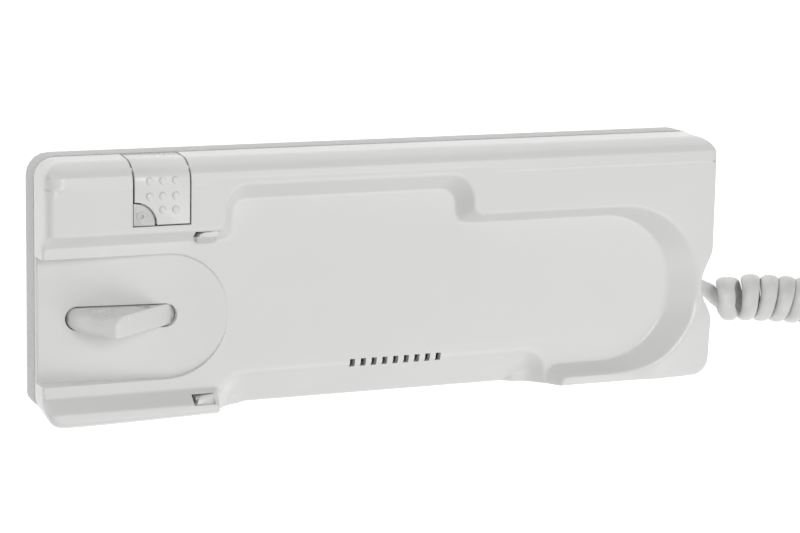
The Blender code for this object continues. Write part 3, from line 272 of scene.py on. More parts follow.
def oval_tube(name, path, outward, widths, thickness):
    """A tube with an oval section, its thin side turned to the outward direction."""
    sides = 14
    bm = bmesh.new()
    rings = []
    for index, point in enumerate(path):
        forward = (path[min(index + 1, len(path) - 1)] - path[max(index - 1, 0)]).normalized()
        across = forward.cross(outward[index]).normalized()
        out = across.cross(forward)
        ring = []
        for side in range(sides):
            angle = 2 * math.pi * side / sides
            ring.append(bm.verts.new(point + widths[index] / 2 * math.cos(angle) * across
                                     + thickness / 2 * math.sin(angle) * out))
        rings.append(ring)
    for near, far in zip(rings, rings[1:]):
        for side in range(sides):
            after = (side + 1) % sides
            bm.faces.new((near[side], near[after], far[after], far[side]))
    bm.faces.new(rings[0][::-1])
    bm.faces.new(rings[-1])
    bmesh.ops.recalc_face_normals(bm, faces=bm.faces)
    piece = finish_mesh(name, bm)
    shade(piece, 50)
    return piece


# Materials. Each is named for the real one, and its docstring says what that gives the eye.

NOISE_LOW, NOISE_TOP = 0.35, 0.65  # most of a noise's values lie between these
MIX_COLOURS = {"data_type": "RGBA"}  # the colours are then inputs 6 and 7, and the mix is output 2
BANDS_ALONG_X = {"bands_direction": "Y", "wave_profile": "SIN"}  # bands that follow each other along Y
WAVE_RADIANS = 20  # a wave texture runs through this many radians for each turn of its scale


def colour(code):
    """A colour from its sRGB hex value, as linear light."""
    levels = [int(code[n:n + 2], 16) / 255 for n in (1, 3, 5)]
    return tuple(v / 12.92 if v <= 0.04045 else ((v + 0.055) / 1.055) ** 2.4 for v in levels) + (1.0,)


def per(size):
    """The texture scale, in turns per metre, that repeats over a size in millimetres."""
    return 1000.0 / size


def add_node(tree, kind, settings=None, **inputs):
    """A node with its settings, and its inputs as values or as (node, output) links. i6 is input number 6."""
    node = tree.nodes.new(kind)
    for name, value in (settings or {}).items():
        setattr(node, name, value)
    for name, value in inputs.items():
        numbered = name[0] == "i" and name[1:].isdigit()
        socket = node.inputs[int(name[1:]) if numbered else name.replace("_", " ")]
        if isinstance(value, tuple) and isinstance(value[0], bpy.types.Node):
            tree.links.new(value[0].outputs[value[1]], socket)
        else:
            socket.default_value = value
    return node


def start_material(name):
    """An empty material under its common name, and the object coordinates that its patterns read."""
    material = bpy.data.materials.new(name)
    material.use_nodes = True
    tree = material.node_tree
    tree.nodes.clear()
    return material, tree, (add_node(tree, "ShaderNodeTexCoord"), "Object")


def polished_abs(name, light, dark, roughness):
    """ABS moulded in a polished tool: an even pale plastic with a soft, uneven gloss and faint sinks."""
    material, tree, place = start_material(name)
    cloud = add_node(tree, "ShaderNodeTexNoise", Vector=place, Scale=per(38), Detail=3.0, Roughness=0.55)
    share = add_node(tree, "ShaderNodeMapRange", Value=(cloud, "Fac"), From_Min=NOISE_LOW, From_Max=NOISE_TOP)
    tone = add_node(tree, "ShaderNodeMix", MIX_COLOURS, i0=(share, "Result"),
                    i6=colour(dark), i7=colour(light))
    smear = add_node(tree, "ShaderNodeTexNoise", Vector=place, Scale=per(9), Detail=4.0, Roughness=0.6)
    gloss = add_node(tree, "ShaderNodeMapRange", Value=(smear, "Fac"), From_Min=NOISE_LOW, From_Max=NOISE_TOP,
                     To_Min=roughness - 0.01, To_Max=roughness + 0.015)
    sink = add_node(tree, "ShaderNodeTexNoise", Vector=place, Scale=per(14), Detail=1.0)
    dents = add_node(tree, "ShaderNodeBump", Height=(sink, "Fac"), Distance=0.006 * MM)
    shader = add_node(tree, "ShaderNodeBsdfPrincipled", Base_Color=(tone, 2), Roughness=(gloss, "Result"),
                      IOR=1.53, Normal=(dents, "Normal"))
    add_node(tree, "ShaderNodeOutputMaterial", Surface=(shader, "BSDF"))
    return material


def textured_abs():
    """ABS moulded against a spark-eroded tool: a dull grain that catches light as specks.

    The real grain is about 0.1 mm across, too fine to show, so it is drawn at 0.45 mm.
    """
    material, tree, place = start_material("Spark-textured ABS")
    grain = add_node(tree, "ShaderNodeTexNoise", Vector=place, Scale=per(0.45), Detail=2.0, Roughness=0.6)
    share = add_node(tree, "ShaderNodeMapRange", Value=(grain, "Fac"), From_Min=NOISE_LOW, From_Max=NOISE_TOP)
    tone = add_node(tree, "ShaderNodeMix", MIX_COLOURS, i0=(share, "Result"),
                    i6=colour("#BFBFBE"), i7=colour("#D3D3D2"))
    gloss = add_node(tree, "ShaderNodeMapRange", Value=(grain, "Fac"), From_Min=NOISE_LOW, From_Max=NOISE_TOP,
                     To_Min=0.52, To_Max=0.64)
    dents = add_node(tree, "ShaderNodeBump", Height=(grain, "Fac"), Distance=0.05 * MM)
    shader = add_node(tree, "ShaderNodeBsdfPrincipled", Base_Color=(tone, 2), Roughness=(gloss, "Result"),
                      IOR=1.53, Normal=(dents, "Normal"))
    add_node(tree, "ShaderNodeOutputMaterial", Surface=(shader, "BSDF"))
    return material


def soft_pvc():
    """Flexible PVC, extruded over the wires: a waxy half gloss, a little cloudy, with a faint grain."""
    material, tree, place = start_material("Flexible PVC")
    cloud = add_node(tree, "ShaderNodeTexNoise", Vector=place, Scale=per(5), Detail=3.0)
    share = add_node(tree, "ShaderNodeMapRange", Value=(cloud, "Fac"), From_Min=NOISE_LOW, From_Max=NOISE_TOP)
    tone = add_node(tree, "ShaderNodeMix", MIX_COLOURS, i0=(share, "Result"),
                    i6=colour("#D2D2D1"), i7=colour("#DCDCDB"))
    grain = add_node(tree, "ShaderNodeTexNoise", Vector=place, Scale=per(0.8), Detail=3.0)
    gloss = add_node(tree, "ShaderNodeMapRange", Value=(grain, "Fac"), From_Min=NOISE_LOW, From_Max=NOISE_TOP,
                     To_Min=0.34, To_Max=0.44)
    dents = add_node(tree, "ShaderNodeBump", Height=(grain, "Fac"), Distance=0.012 * MM)
    shader = add_node(tree, "ShaderNodeBsdfPrincipled", Base_Color=(tone, 2), Roughness=(gloss, "Result"),
                      IOR=1.52, Normal=(dents, "Normal"))
    add_node(tree, "ShaderNodeOutputMaterial", Surface=(shader, "BSDF"))
    return material


def zinc_steel():
    """Zinc-plated steel, bright and thin: a bluish metal with small cloudy spangles, about 0.7 mm across."""
    material, tree, place = start_material("Zinc-plated steel")
    spangle = add_node(tree, "ShaderNodeTexVoronoi", Vector=place, Scale=per(0.7))
    share = add_node(tree, "ShaderNodeMapRange", Value=(spangle, "Distance"), From_Min=0.0, From_Max=0.6)
    tone = add_node(tree, "ShaderNodeMix", MIX_COLOURS, i0=(share, "Result"),
                    i6=colour("#A9ADB1"), i7=colour("#C9CCCE"))
    haze = add_node(tree, "ShaderNodeTexNoise", Vector=place, Scale=per(0.5), Detail=3.0)
    gloss = add_node(tree, "ShaderNodeMapRange", Value=(haze, "Fac"), From_Min=NOISE_LOW, From_Max=NOISE_TOP,
                     To_Min=0.24, To_Max=0.42)
    shader = add_node(tree, "ShaderNodeBsdfPrincipled", Base_Color=(tone, 2), Roughness=(gloss, "Result"),
                      Metallic=1.0)
    add_node(tree, "ShaderNodeOutputMaterial", Surface=(shader, "BSDF"))
    return material


def black_phenolic():
    """Moulded phenolic: black with fine filler specks, 0.35 mm across, under a dull skin."""
    material, tree, place = start_material("Moulded phenolic")
    fleck = add_node(tree, "ShaderNodeTexNoise", Vector=place, Scale=per(0.35), Detail=2.0)
    share = add_node(tree, "ShaderNodeMapRange", Value=(fleck, "Fac"), From_Min=NOISE_LOW, From_Max=NOISE_TOP)
    tone = add_node(tree, "ShaderNodeMix", MIX_COLOURS, i0=(share, "Result"),
                    i6=colour("#151516"), i7=colour("#2A2A2C"))
    gloss = add_node(tree, "ShaderNodeMapRange", Value=(fleck, "Fac"), From_Min=NOISE_LOW, From_Max=NOISE_TOP,
                     To_Min=0.42, To_Max=0.56)
    dents = add_node(tree, "ShaderNodeBump", Height=(fleck, "Fac"), Distance=0.01 * MM)
    shader = add_node(tree, "ShaderNodeBsdfPrincipled", Base_Color=(tone, 2), Roughness=(gloss, "Result"),
                      IOR=1.6, Normal=(dents, "Normal"))
    add_node(tree, "ShaderNodeOutputMaterial", Surface=(shader, "BSDF"))
    return material


def acetal():
    """Natural acetal, moulded: milky white and slippery, with a little light passing in."""
    material, tree, place = start_material("Natural acetal")
    cloud = add_node(tree, "ShaderNodeTexNoise", Vector=place, Scale=per(1.5), Detail=2.0)
    share = add_node(tree, "ShaderNodeMapRange", Value=(cloud, "Fac"), From_Min=NOISE_LOW, From_Max=NOISE_TOP)
    tone = add_node(tree, "ShaderNodeMix", MIX_COLOURS, i0=(share, "Result"),
                    i6=colour("#DEDDD8"), i7=colour("#EAE9E4"))
    gloss = add_node(tree, "ShaderNodeMapRange", Value=(cloud, "Fac"), From_Min=NOISE_LOW, From_Max=NOISE_TOP,
                     To_Min=0.28, To_Max=0.36)
    shader = add_node(tree, "ShaderNodeBsdfPrincipled", Base_Color=(tone, 2), Roughness=(gloss, "Result"),
                      IOR=1.48, Subsurface_Weight=0.15, Subsurface_Scale=1.0 * MM)
    add_node(tree, "ShaderNodeOutputMaterial", Surface=(shader, "BSDF"))
    return material


def epoxy_board():
    """Woven glass in epoxy under a green mask: faint squares of 0.6 mm, and tracks a little proud."""
    material, tree, place = start_material("Glass-epoxy board")
    weave = add_node(tree, "ShaderNodeTexChecker", Vector=place, Scale=per(0.6),
                     Color1=colour("#14492A"), Color2=colour("#185230"))
    track = add_node(tree, "ShaderNodeTexBrick", {"offset": 0.5, "squash": 1.0}, Vector=place, Scale=per(5.0),
                     Color1=colour("#000000"), Color2=colour("#000000"), Mortar=colour("#FFFFFF"),
                     Mortar_Size=0.035, Mortar_Smooth=0.2, Brick_Width=1.7, Row_Height=0.5)
    tone = add_node(tree, "ShaderNodeMix", MIX_COLOURS, i0=(track, "Fac"), i6=(weave, "Color"),
                    i7=colour("#2C7A48"))
    haze = add_node(tree, "ShaderNodeTexNoise", Vector=place, Scale=per(3), Detail=2.0)
    gloss = add_node(tree, "ShaderNodeMapRange", Value=(haze, "Fac"), From_Min=NOISE_LOW, From_Max=NOISE_TOP,
                     To_Min=0.26, To_Max=0.36)
    dents = add_node(tree, "ShaderNodeBump", Height=(track, "Fac"), Distance=0.035 * MM)
    shader = add_node(tree, "ShaderNodeBsdfPrincipled", Base_Color=(tone, 2), Roughness=(gloss, "Result"),
                      IOR=1.55, Normal=(dents, "Normal"))
    add_node(tree, "ShaderNodeOutputMaterial", Surface=(shader, "BSDF"))
    return material


def core_laminations():
    """Silicon steel sheets 0.5 mm thick, stacked and varnished: dark edges in fine lines, rather dull."""
    material, tree, place = start_material("Silicon steel laminations")
    sheets = add_node(tree, "ShaderNodeTexWave", BANDS_ALONG_X, Vector=place,
                      Scale=per(0.5) * math.tau / WAVE_RADIANS)
    share = add_node(tree, "ShaderNodeMapRange", Value=(sheets, "Fac"), From_Min=NOISE_LOW,
                     From_Max=NOISE_TOP)
    tone = add_node(tree, "ShaderNodeMix", MIX_COLOURS, i0=(share, "Result"),
                    i6=colour("#3A3B3E"), i7=colour("#77797D"))
    gloss = add_node(tree, "ShaderNodeMapRange", Value=(sheets, "Fac"), From_Min=NOISE_LOW,
                     From_Max=NOISE_TOP, To_Min=0.6, To_Max=0.42)
    dents = add_node(tree, "ShaderNodeBump", Height=(sheets, "Fac"), Distance=0.04 * MM)
    shader = add_node(tree, "ShaderNodeBsdfPrincipled", Base_Color=(tone, 2), Roughness=(gloss, "Result"),
                      Metallic=1.0, Normal=(dents, "Normal"))
    add_node(tree, "ShaderNodeOutputMaterial", Surface=(shader, "BSDF"))
    return material


def enamelled_copper():
    """Enamelled copper wire, wound: 0.4 mm wires side by side, warm under a glossy coat."""
    material, tree, place = start_material("Enamelled copper")
    wires = add_node(tree, "ShaderNodeTexWave", BANDS_ALONG_X, Vector=place,
                     Scale=per(0.4) * math.tau / WAVE_RADIANS, Distortion=0.6, Detail=1.0, Detail_Scale=4.0)
    share = add_node(tree, "ShaderNodeMapRange", Value=(wires, "Fac"), From_Min=NOISE_LOW, From_Max=NOISE_TOP)
    tone = add_node(tree, "ShaderNodeMix", MIX_COLOURS, i0=(share, "Result"),
                    i6=colour("#6E2F16"), i7=colour("#C9702F"))
    gloss = add_node(tree, "ShaderNodeMapRange", Value=(wires, "Fac"), From_Min=NOISE_LOW, From_Max=NOISE_TOP,
                     To_Min=0.45, To_Max=0.25)
    dents = add_node(tree, "ShaderNodeBump", Height=(wires, "Fac"), Distance=0.08 * MM)
    shader = add_node(tree, "ShaderNodeBsdfPrincipled", Base_Color=(tone, 2), Roughness=(gloss, "Result"),
                      Metallic=1.0, Coat_Weight=0.6, Coat_Roughness=0.15, Normal=(dents, "Normal"))
    add_node(tree, "ShaderNodeOutputMaterial", Surface=(shader, "BSDF"))
    return material


def green_nylon():
    """Moulded nylon: green with a slight bloom from moisture."""
    material, tree, place = start_material("Moulded nylon")
    bloom = add_node(tree, "ShaderNodeTexNoise", Vector=place, Scale=per(2), Detail=4.0)
    share = add_node(tree, "ShaderNodeMapRange", Value=(bloom, "Fac"), From_Min=NOISE_LOW, From_Max=NOISE_TOP)
    tone = add_node(tree, "ShaderNodeMix", MIX_COLOURS, i0=(share, "Result"),
                    i6=colour("#1F6B3C"), i7=colour("#2A7F4A"))
    gloss = add_node(tree, "ShaderNodeMapRange", Value=(bloom, "Fac"), From_Min=NOISE_LOW, From_Max=NOISE_TOP,
                     To_Min=0.36, To_Max=0.48)
    shader = add_node(tree, "ShaderNodeBsdfPrincipled", Base_Color=(tone, 2), Roughness=(gloss, "Result"),
                      IOR=1.53)
    add_node(tree, "ShaderNodeOutputMaterial", Surface=(shader, "BSDF"))
    return material


def capacitor_sleeve():
    """Heat-shrunk PVC sleeve: deep blue, drawn tight and glossy, with faint wrinkles."""
    material, tree, place = start_material("Shrink sleeve")
    wrinkle = add_node(tree, "ShaderNodeTexNoise", Vector=place, Scale=per(1.1), Detail=3.0)
    share = add_node(tree, "ShaderNodeMapRange", Value=(wrinkle, "Fac"), From_Min=NOISE_LOW,
                     From_Max=NOISE_TOP)
    tone = add_node(tree, "ShaderNodeMix", MIX_COLOURS, i0=(share, "Result"),
                    i6=colour("#16284F"), i7=colour("#20386B"))
    gloss = add_node(tree, "ShaderNodeMapRange", Value=(wrinkle, "Fac"), From_Min=NOISE_LOW,
                     From_Max=NOISE_TOP, To_Min=0.2, To_Max=0.32)
    dents = add_node(tree, "ShaderNodeBump", Height=(wrinkle, "Fac"), Distance=0.02 * MM)
    shader = add_node(tree, "ShaderNodeBsdfPrincipled", Base_Color=(tone, 2), Roughness=(gloss, "Result"),
                      IOR=1.52, Normal=(dents, "Normal"))
    add_node(tree, "ShaderNodeOutputMaterial", Surface=(shader, "BSDF"))
    return material


def resistor_lacquer():
    """Baked lacquer over a film resistor: tan and glossy, with narrow colour bands round it."""
    material, tree, place = start_material("Baked lacquer")
    low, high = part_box("resistor_1")
    split = add_node(tree, "ShaderNodeSeparateXYZ", Vector=place)
    share = add_node(tree, "ShaderNodeMapRange", Value=(split, "Y"), From_Min=low[1], From_Max=high[1])
    bands = add_node(tree, "ShaderNodeValToRGB", Fac=(share, "Result"))
    ramp = bands.color_ramp
    ramp.interpolation = "CONSTANT"
    tan = "#B99A6C"
    stops = [(0.0, tan), (0.18, "#6B3A1E"), (0.27, tan), (0.38, "#1B1B1B"), (0.47, tan), (0.56, "#B3261E"),
             (0.65, tan), (0.8, "#C9A24B"), (0.89, tan)]
    for number, (position, code) in enumerate(stops):
        stop = ramp.elements[number] if number < 2 else ramp.elements.new(position)
        stop.position, stop.color = position, colour(code)
    haze = add_node(tree, "ShaderNodeTexNoise", Vector=place, Scale=per(0.8), Detail=2.0)
    gloss = add_node(tree, "ShaderNodeMapRange", Value=(haze, "Fac"), From_Min=NOISE_LOW, From_Max=NOISE_TOP,
                     To_Min=0.3, To_Max=0.42)
    shader = add_node(tree, "ShaderNodeBsdfPrincipled", Base_Color=(bands, "Color"),
                      Roughness=(gloss, "Result"), IOR=1.5)
    add_node(tree, "ShaderNodeOutputMaterial", Surface=(shader, "BSDF"))
    return material


def clear_polycarbonate():
    """Clear polycarbonate, moulded: glassy and a touch smoky, with faint flow lines."""
    material, tree, place = start_material("Clear polycarbonate")
    flow = add_node(tree, "ShaderNodeTexNoise", Vector=place, Scale=per(3), Detail=2.0)
    share = add_node(tree, "ShaderNodeMapRange", Value=(flow, "Fac"), From_Min=NOISE_LOW, From_Max=NOISE_TOP)
    tone = add_node(tree, "ShaderNodeMix", MIX_COLOURS, i0=(share, "Result"),
                    i6=colour("#DDE2E4"), i7=colour("#EEF1F2"))
    gloss = add_node(tree, "ShaderNodeMapRange", Value=(flow, "Fac"), From_Min=NOISE_LOW, From_Max=NOISE_TOP,
                     To_Min=0.06, To_Max=0.14)
    shader = add_node(tree, "ShaderNodeBsdfPrincipled", Base_Color=(tone, 2), Roughness=(gloss, "Result"),
                      IOR=1.58, Transmission_Weight=0.85)
    add_node(tree, "ShaderNodeOutputMaterial", Surface=(shader, "BSDF"))
    return material


def contact_gold():
    """Hard gold, plated thin over nickel: bright yellow, with fine wiping marks 0.3 mm across."""
    material, tree, place = start_material("Hard gold plate")
    wipe = add_node(tree, "ShaderNodeTexNoise", Vector=place, Scale=per(0.3), Detail=2.0)
    share = add_node(tree, "ShaderNodeMapRange", Value=(wipe, "Fac"), From_Min=NOISE_LOW, From_Max=NOISE_TOP)
    tone = add_node(tree, "ShaderNodeMix", MIX_COLOURS, i0=(share, "Result"),
                    i6=colour("#D9A441"), i7=colour("#F0C564"))
    gloss = add_node(tree, "ShaderNodeMapRange", Value=(wipe, "Fac"), From_Min=NOISE_LOW, From_Max=NOISE_TOP,
                     To_Min=0.18, To_Max=0.3)
    shader = add_node(tree, "ShaderNodeBsdfPrincipled", Base_Color=(tone, 2), Roughness=(gloss, "Result"),
                      Metallic=1.0)
    add_node(tree, "ShaderNodeOutputMaterial", Surface=(shader, "BSDF"))
    return material


FINISHES = {
    "cover_plastic": polished_abs("Polished ABS, pale grey", "#E2E2E1", "#E0E0DF", 0.25),
    "key_plastic": polished_abs("Polished ABS, keys", "#E3E3E2", "#E1E1E0", 0.26),
    "plate_plastic": textured_abs(),
    "steel": zinc_steel(),
    "black_plastic": black_phenolic(),
    "plunger_plastic": acetal(),
    "board": epoxy_board(),
    "core_steel": core_laminations(),
    "copper": enamelled_copper(),
    "terminal_plastic": green_nylon(),
    "sleeve": capacitor_sleeve(),
    "lacquer": resistor_lacquer(),
    "cord": soft_pvc(),
    "plug_plastic": clear_polycarbonate(),
    "gold": contact_gold(),
}


# Cover form, in millimetres from the ear end, the low side and the wall

cover_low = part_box("front_cover")[0]
LOW_LINE = 1.5  # the low line lies this far inside the low side of the frame's cover
COVER_LENGTH, COVER_WIDTH = 220.0, 79.0
SEAM = 8.65
WALL = 2.0
AXIS = 29.3  # the lever, the recess round it and the bowl are centred on this line
# How far the front is set in from the ear end, the mouth end, the low line and a line COVER_WIDTH off that
EAR_END, MOUTH_END, LOW_SIDE, HIGH_SIDE = 0.15, 0.0, -0.4, 2.25
BASE_SIDES = (0.0, 0.5, 0.3, 1.7)  # the same four at the seam

FRONT_LEVEL = 22.2
STEP_LINE = 69.3
ROLL = [  # the high edge from the side, as (y, z)
    (STEP_LINE, 22.35), (72.7, 21.85), (73.5, 21.25), (74.3, 20.5),
    (75.0, 19.65), (75.7, 18.55), (76.3, 17.3), (76.75, 16.0),
]
TROUGH_FLOOR = 17.0
BOWL_FOOT, BOWL_FOOT_RADIUS = 182, 23.3
BOWL_RIM, BOWL_RIM_RADIUS = 188.7, 27.2
SCOOP_NEAR, SCOOP_FAR = 54.6, 163.6
RECESS_LOW, RECESS_HIGH = 10.4, 48.2
RECESS_ROUND, RECESS_RADIUS = 38.3, 18.9  # where its round end starts, and how round that is
RECESS_TIP, RECESS_LEVEL = 57.2, 10.2  # its floor climbs from this level to the trough's at its tip
RECESS_EDGE = 0.4  # how round its rim is
RECESS_ROWS = (0.02, 0.1, 0.22, RECESS_EDGE)  # rows of the mesh just outside its rim
EAR_CORNER_DROP = 1.3
MOUTH_CORNER_RISE, MOUTH_CORNER_FALL = 1.3, 0.16

BUTTON_OPENING = (25.85, 43.8, 57.6)  # its two sides and its low edge
LEVER_SLOT = (8.5, 41.9, 7.2)  # its two ends and its width
VENT_FIRST, VENT_PITCH, VENT_COUNT, VENT_Y = 97.75, 3.59, 9, 11.0
VENT_HALF = (0.85, 1.25)
CORD_HOLE = (27.1, 7.9, 3.4)  # its y, z and radius
WINDOWS = [(48.5, 4.1, 3.35, 1.4), (49.2, 54.15, 3.8, 1.05)]  # each one's middle, half length and half width


def at(x, y, z):
    """A place on the object from millimetres off the ear end, the low line and the wall."""
    return Vector((cover_low[0] + x * MM, cover_low[1] + (y + LOW_LINE) * MM, z * MM))


def lobe_flare(x):
    """How far the ear lobe swells out past the low line."""
    swell, full_to, fading = 1.1, 8, 60
    return swell * (1 - ease((x - full_to) / fading))


def arc(x, y, radius, start, end, steps):
    """Points round an arc, from one angle in degrees to another."""
    angles = np.radians(np.linspace(start, end, steps + 1))
    return [(x + radius * math.cos(a), y + radius * math.sin(a)) for a in angles]


def rounded(corners, steps=9):
    """An outline from corners of (x, y, radius). A radius of 0 keeps the corner sharp."""
    points = []
    for index, (x, y, radius) in enumerate(corners):
        if radius == 0:
            points.append((x, y))
            continue
        here = np.array((x, y))
        before = np.array(corners[index - 1][:2]) - here
        after = np.array(corners[(index + 1) % len(corners)][:2]) - here
        before, after = before / np.hypot(*before), after / np.hypot(*after)
        half = math.acos(np.clip(before @ after, -1, 1)) / 2
        bisector = (before + after) / np.hypot(*(before + after))
        middle = here + bisector * radius / math.sin(half)
        first = before * radius / math.tan(half) + here - middle
        last = after * radius / math.tan(half) + here - middle
        start, end = math.atan2(first[1], first[0]), math.atan2(last[1], last[0])
        turn = (end - start + math.pi) % (2 * math.pi) - math.pi
        points += arc(*middle, radius, math.degrees(start), math.degrees(start + turn), steps)
    return points


def outside(points, outline):
    """How far each point lies outside a closed outline, below zero inside it."""
    start = np.array(outline)
    edge = np.roll(start, -1, axis=0) - start
    keep = np.hypot(*edge.T) > 1e-6
    start, edge = start[keep], edge[keep]
    result = np.empty(len(points))
    for first in range(0, len(points), 3000):
        x, y = points[first:first + 3000, 0, None], points[first:first + 3000, 1, None]
        dx, dy = x - start[:, 0], y - start[:, 1]
        share = ((dx * edge[:, 0] + dy * edge[:, 1]) / (edge ** 2).sum(1)).clip(0, 1)
        gap = np.hypot(dx - share * edge[:, 0], dy - share * edge[:, 1]).min(1)
        spans = (dy < 0) != (dy - edge[:, 1] < 0)
        slope = np.where(edge[:, 1] == 0, 1e-9, edge[:, 1])
        crossings = (spans & (dx < dy * edge[:, 0] / slope)).sum(1)
        result[first:first + 3000] = np.where(crossings % 2 == 1, -gap, gap)
    return result


def ease(value):
    """A smooth rise from 0 to 1 while the value does the same."""
    value = np.clip(value, 0, 1)
    return value * value * (3 - 2 * value)


def soft_positive(value, width):
    """The value where it is above zero and nought below, with a bend of the given width."""
    return (value + np.sqrt(value ** 2 + width ** 2)) / 2


def bend(share, foot, rim):
    """A straight rise from 0 to 1 with a rounded foot and a rounded rim, each a share of its width."""
    share = np.clip(share, 0, 1)
    steep = 1 / (1 - foot / 2 - rim / 2)
    near_rim = 1 / steep - (1 - share) ** 2 / (2 * rim)
    upper = np.where(share > 1 - rim, near_rim, share - foot / 2)
    return steep * np.where(share < foot, share ** 2 / (2 * foot), upper)


TROUGH_FOOT = rounded([
    (-30, 7.3, 0), (54.7, 7.3, 1.6), (54.7, -20, 0), (164.0, -20, 0), (164.0, 6, 2.5), (BOWL_FOOT, 6, 0),
]) + arc(BOWL_FOOT, AXIS, BOWL_FOOT_RADIUS, -88, 90, 40) + rounded([
    (BOWL_FOOT, 52.6, 0), (130.5, 52.6, 4), (130.5, 63.3, 5), (58.5, 63.3, 4.5), (58.5, 51.3, 3),
    (-30, 51.3, 0),
])[1:]
TROUGH_RIM = rounded([
    (-30, 2.4, 0), (53.2, 2.4, 1.4), (53.2, -20, 0), (167.2, -20, 0), (167.2, 2.1, 3), (BOWL_RIM, 2.1, 0),
]) + arc(BOWL_RIM, AXIS, BOWL_RIM_RADIUS, -88, 90, 40) + rounded([
    (BOWL_RIM, 56.5, 0), (135.9, 56.5, 2.5), (135.9, 69.5, 8.5), (53.9, 69.5, 8), (53.9, 56.2, 3),
    (-30, 56.2, 0),
])[1:]
SCOOP = rounded([(SCOOP_NEAR, -20, 0), (SCOOP_FAR, -20, 0), (SCOOP_FAR, 11.0, 8.5), (SCOOP_NEAR, 10.7, 9.5)])
RECESS = [(-30, RECESS_LOW)] + arc(RECESS_ROUND, AXIS, RECESS_RADIUS, -90, 90, 48) + [(-30, RECESS_HIGH)]


def step_line(x):
    """Where the front steps up to the high edge's roll, a straight line that bends out beside the trough."""
    bulge = 1.5
    return STEP_LINE + bulge * ease((x - 47) / 8) * ease((144 - x) / 9)


def recess_floor(x):
    """The height of the recess's sloping floor."""
    return RECESS_LEVEL + (TROUGH_FLOOR - RECESS_LEVEL) * x / RECESS_TIP


def cover_height(points, grow=0.0):
    """The front of the cover, or with grow its hollow side, as a height over each point."""
    x, y = points[:, 0], points[:, 1]
    step_width = 0.3
    ridge = np.interp(y, *zip(*ROLL))
    step = ease((y - step_line(x)) / step_width + 0.5)
    top = FRONT_LEVEL + (ridge - FRONT_LEVEL) * step
    # The high corner at the ear end sinks in front of the edge's roll
    top -= EAR_CORNER_DROP * ease((y - 66.5) / 5) * ease((5.5 - x) / 5.5) * (1 - ease((y - 71.5) / 4.5))
    # The low corner at the mouth end stands proud beside the bowl and falls away from it
    corner = ease((x - 192) / 12) * ease((26 - y) / 10)
    off_bowl = soft_positive(np.hypot(x - BOWL_RIM, y - AXIS) - BOWL_RIM_RADIUS - 0.4, 0.8)
    top += corner * (MOUTH_CORNER_RISE - MOUTH_CORNER_FALL * off_bowl)
    # The rest of the low side slopes off a little
    top -= 0.1 * soft_positive(3 - y, 0.8) * (1 - ease((x - 186) / 14))

    slope_grow = 0.8 * grow
    foot, rim = outside(points, TROUGH_FOOT) - slope_grow, outside(points, TROUGH_RIM) - slope_grow
    share = np.where(foot <= 0, 0, np.where(rim >= 0, 1, foot / np.maximum(foot - rim, 1e-6)))
    rise = bend(share, 0.16, 0.2)
    # The finger scoop falls towards the low side, most steeply at its two ends
    scoop_fall, end_fall, end_reach = 0.74, 0.9, 9
    ends = (1 - ease((x - SCOOP_NEAR) / end_reach)) + (1 - ease((SCOOP_FAR - x) / end_reach))
    scoop = scoop_fall * soft_positive(-outside(points, SCOOP), 0.7) * (1 + end_fall * ends)
    base = TROUGH_FLOOR - np.where(y < 14, scoop, 0)
    height = base + (top - base) * rise
    if grow:
        height = np.where(outside(points, RECESS) < grow, np.minimum(height, recess_floor(x)), height)
        return np.maximum(height - grow, SEAM + 0.2)
    well = outside(points, RECESS)
    depth = height - recess_floor(x)
    edge = np.clip(0.4 * depth, 0.001, RECESS_EDGE)
    drop = edge - np.sqrt(np.maximum(edge ** 2 - (edge - np.clip(well, 0, edge)) ** 2, 0))
    return np.where(well < -0.01, np.minimum(height, recess_floor(x)), height - drop)


def edge_radius(points):
    """How round the front edge is: tight along the high side, wide along the ear lobe of the low side.

    Each share is 1 on its own stretch of the edge and falls to 0 beyond it.
    """
    x, y = points[:, 0], points[:, 1]
    high = ease((y - 71) / 4)
    low = ease((12 - y) / 6)
    lobe = low * (1 - ease((x - 52) / 6))
    scoop = low * ease((x - 53.2) / 3) * ease((169 - x) / 4)
    ear_end = ease((9 - x) / 7) * (1 - low) * (1 - high)
    recess = ease((5 - x) / 3) * ease((y - 5) / 3) * ease((54 - y) / 4)
    size = 1.0 - 0.7 * high + 1.5 * lobe - 0.2 * low + 1.6 * ear_end
    size = size - (size - 0.7) * recess
    return size - (size - 0.5) * scoop


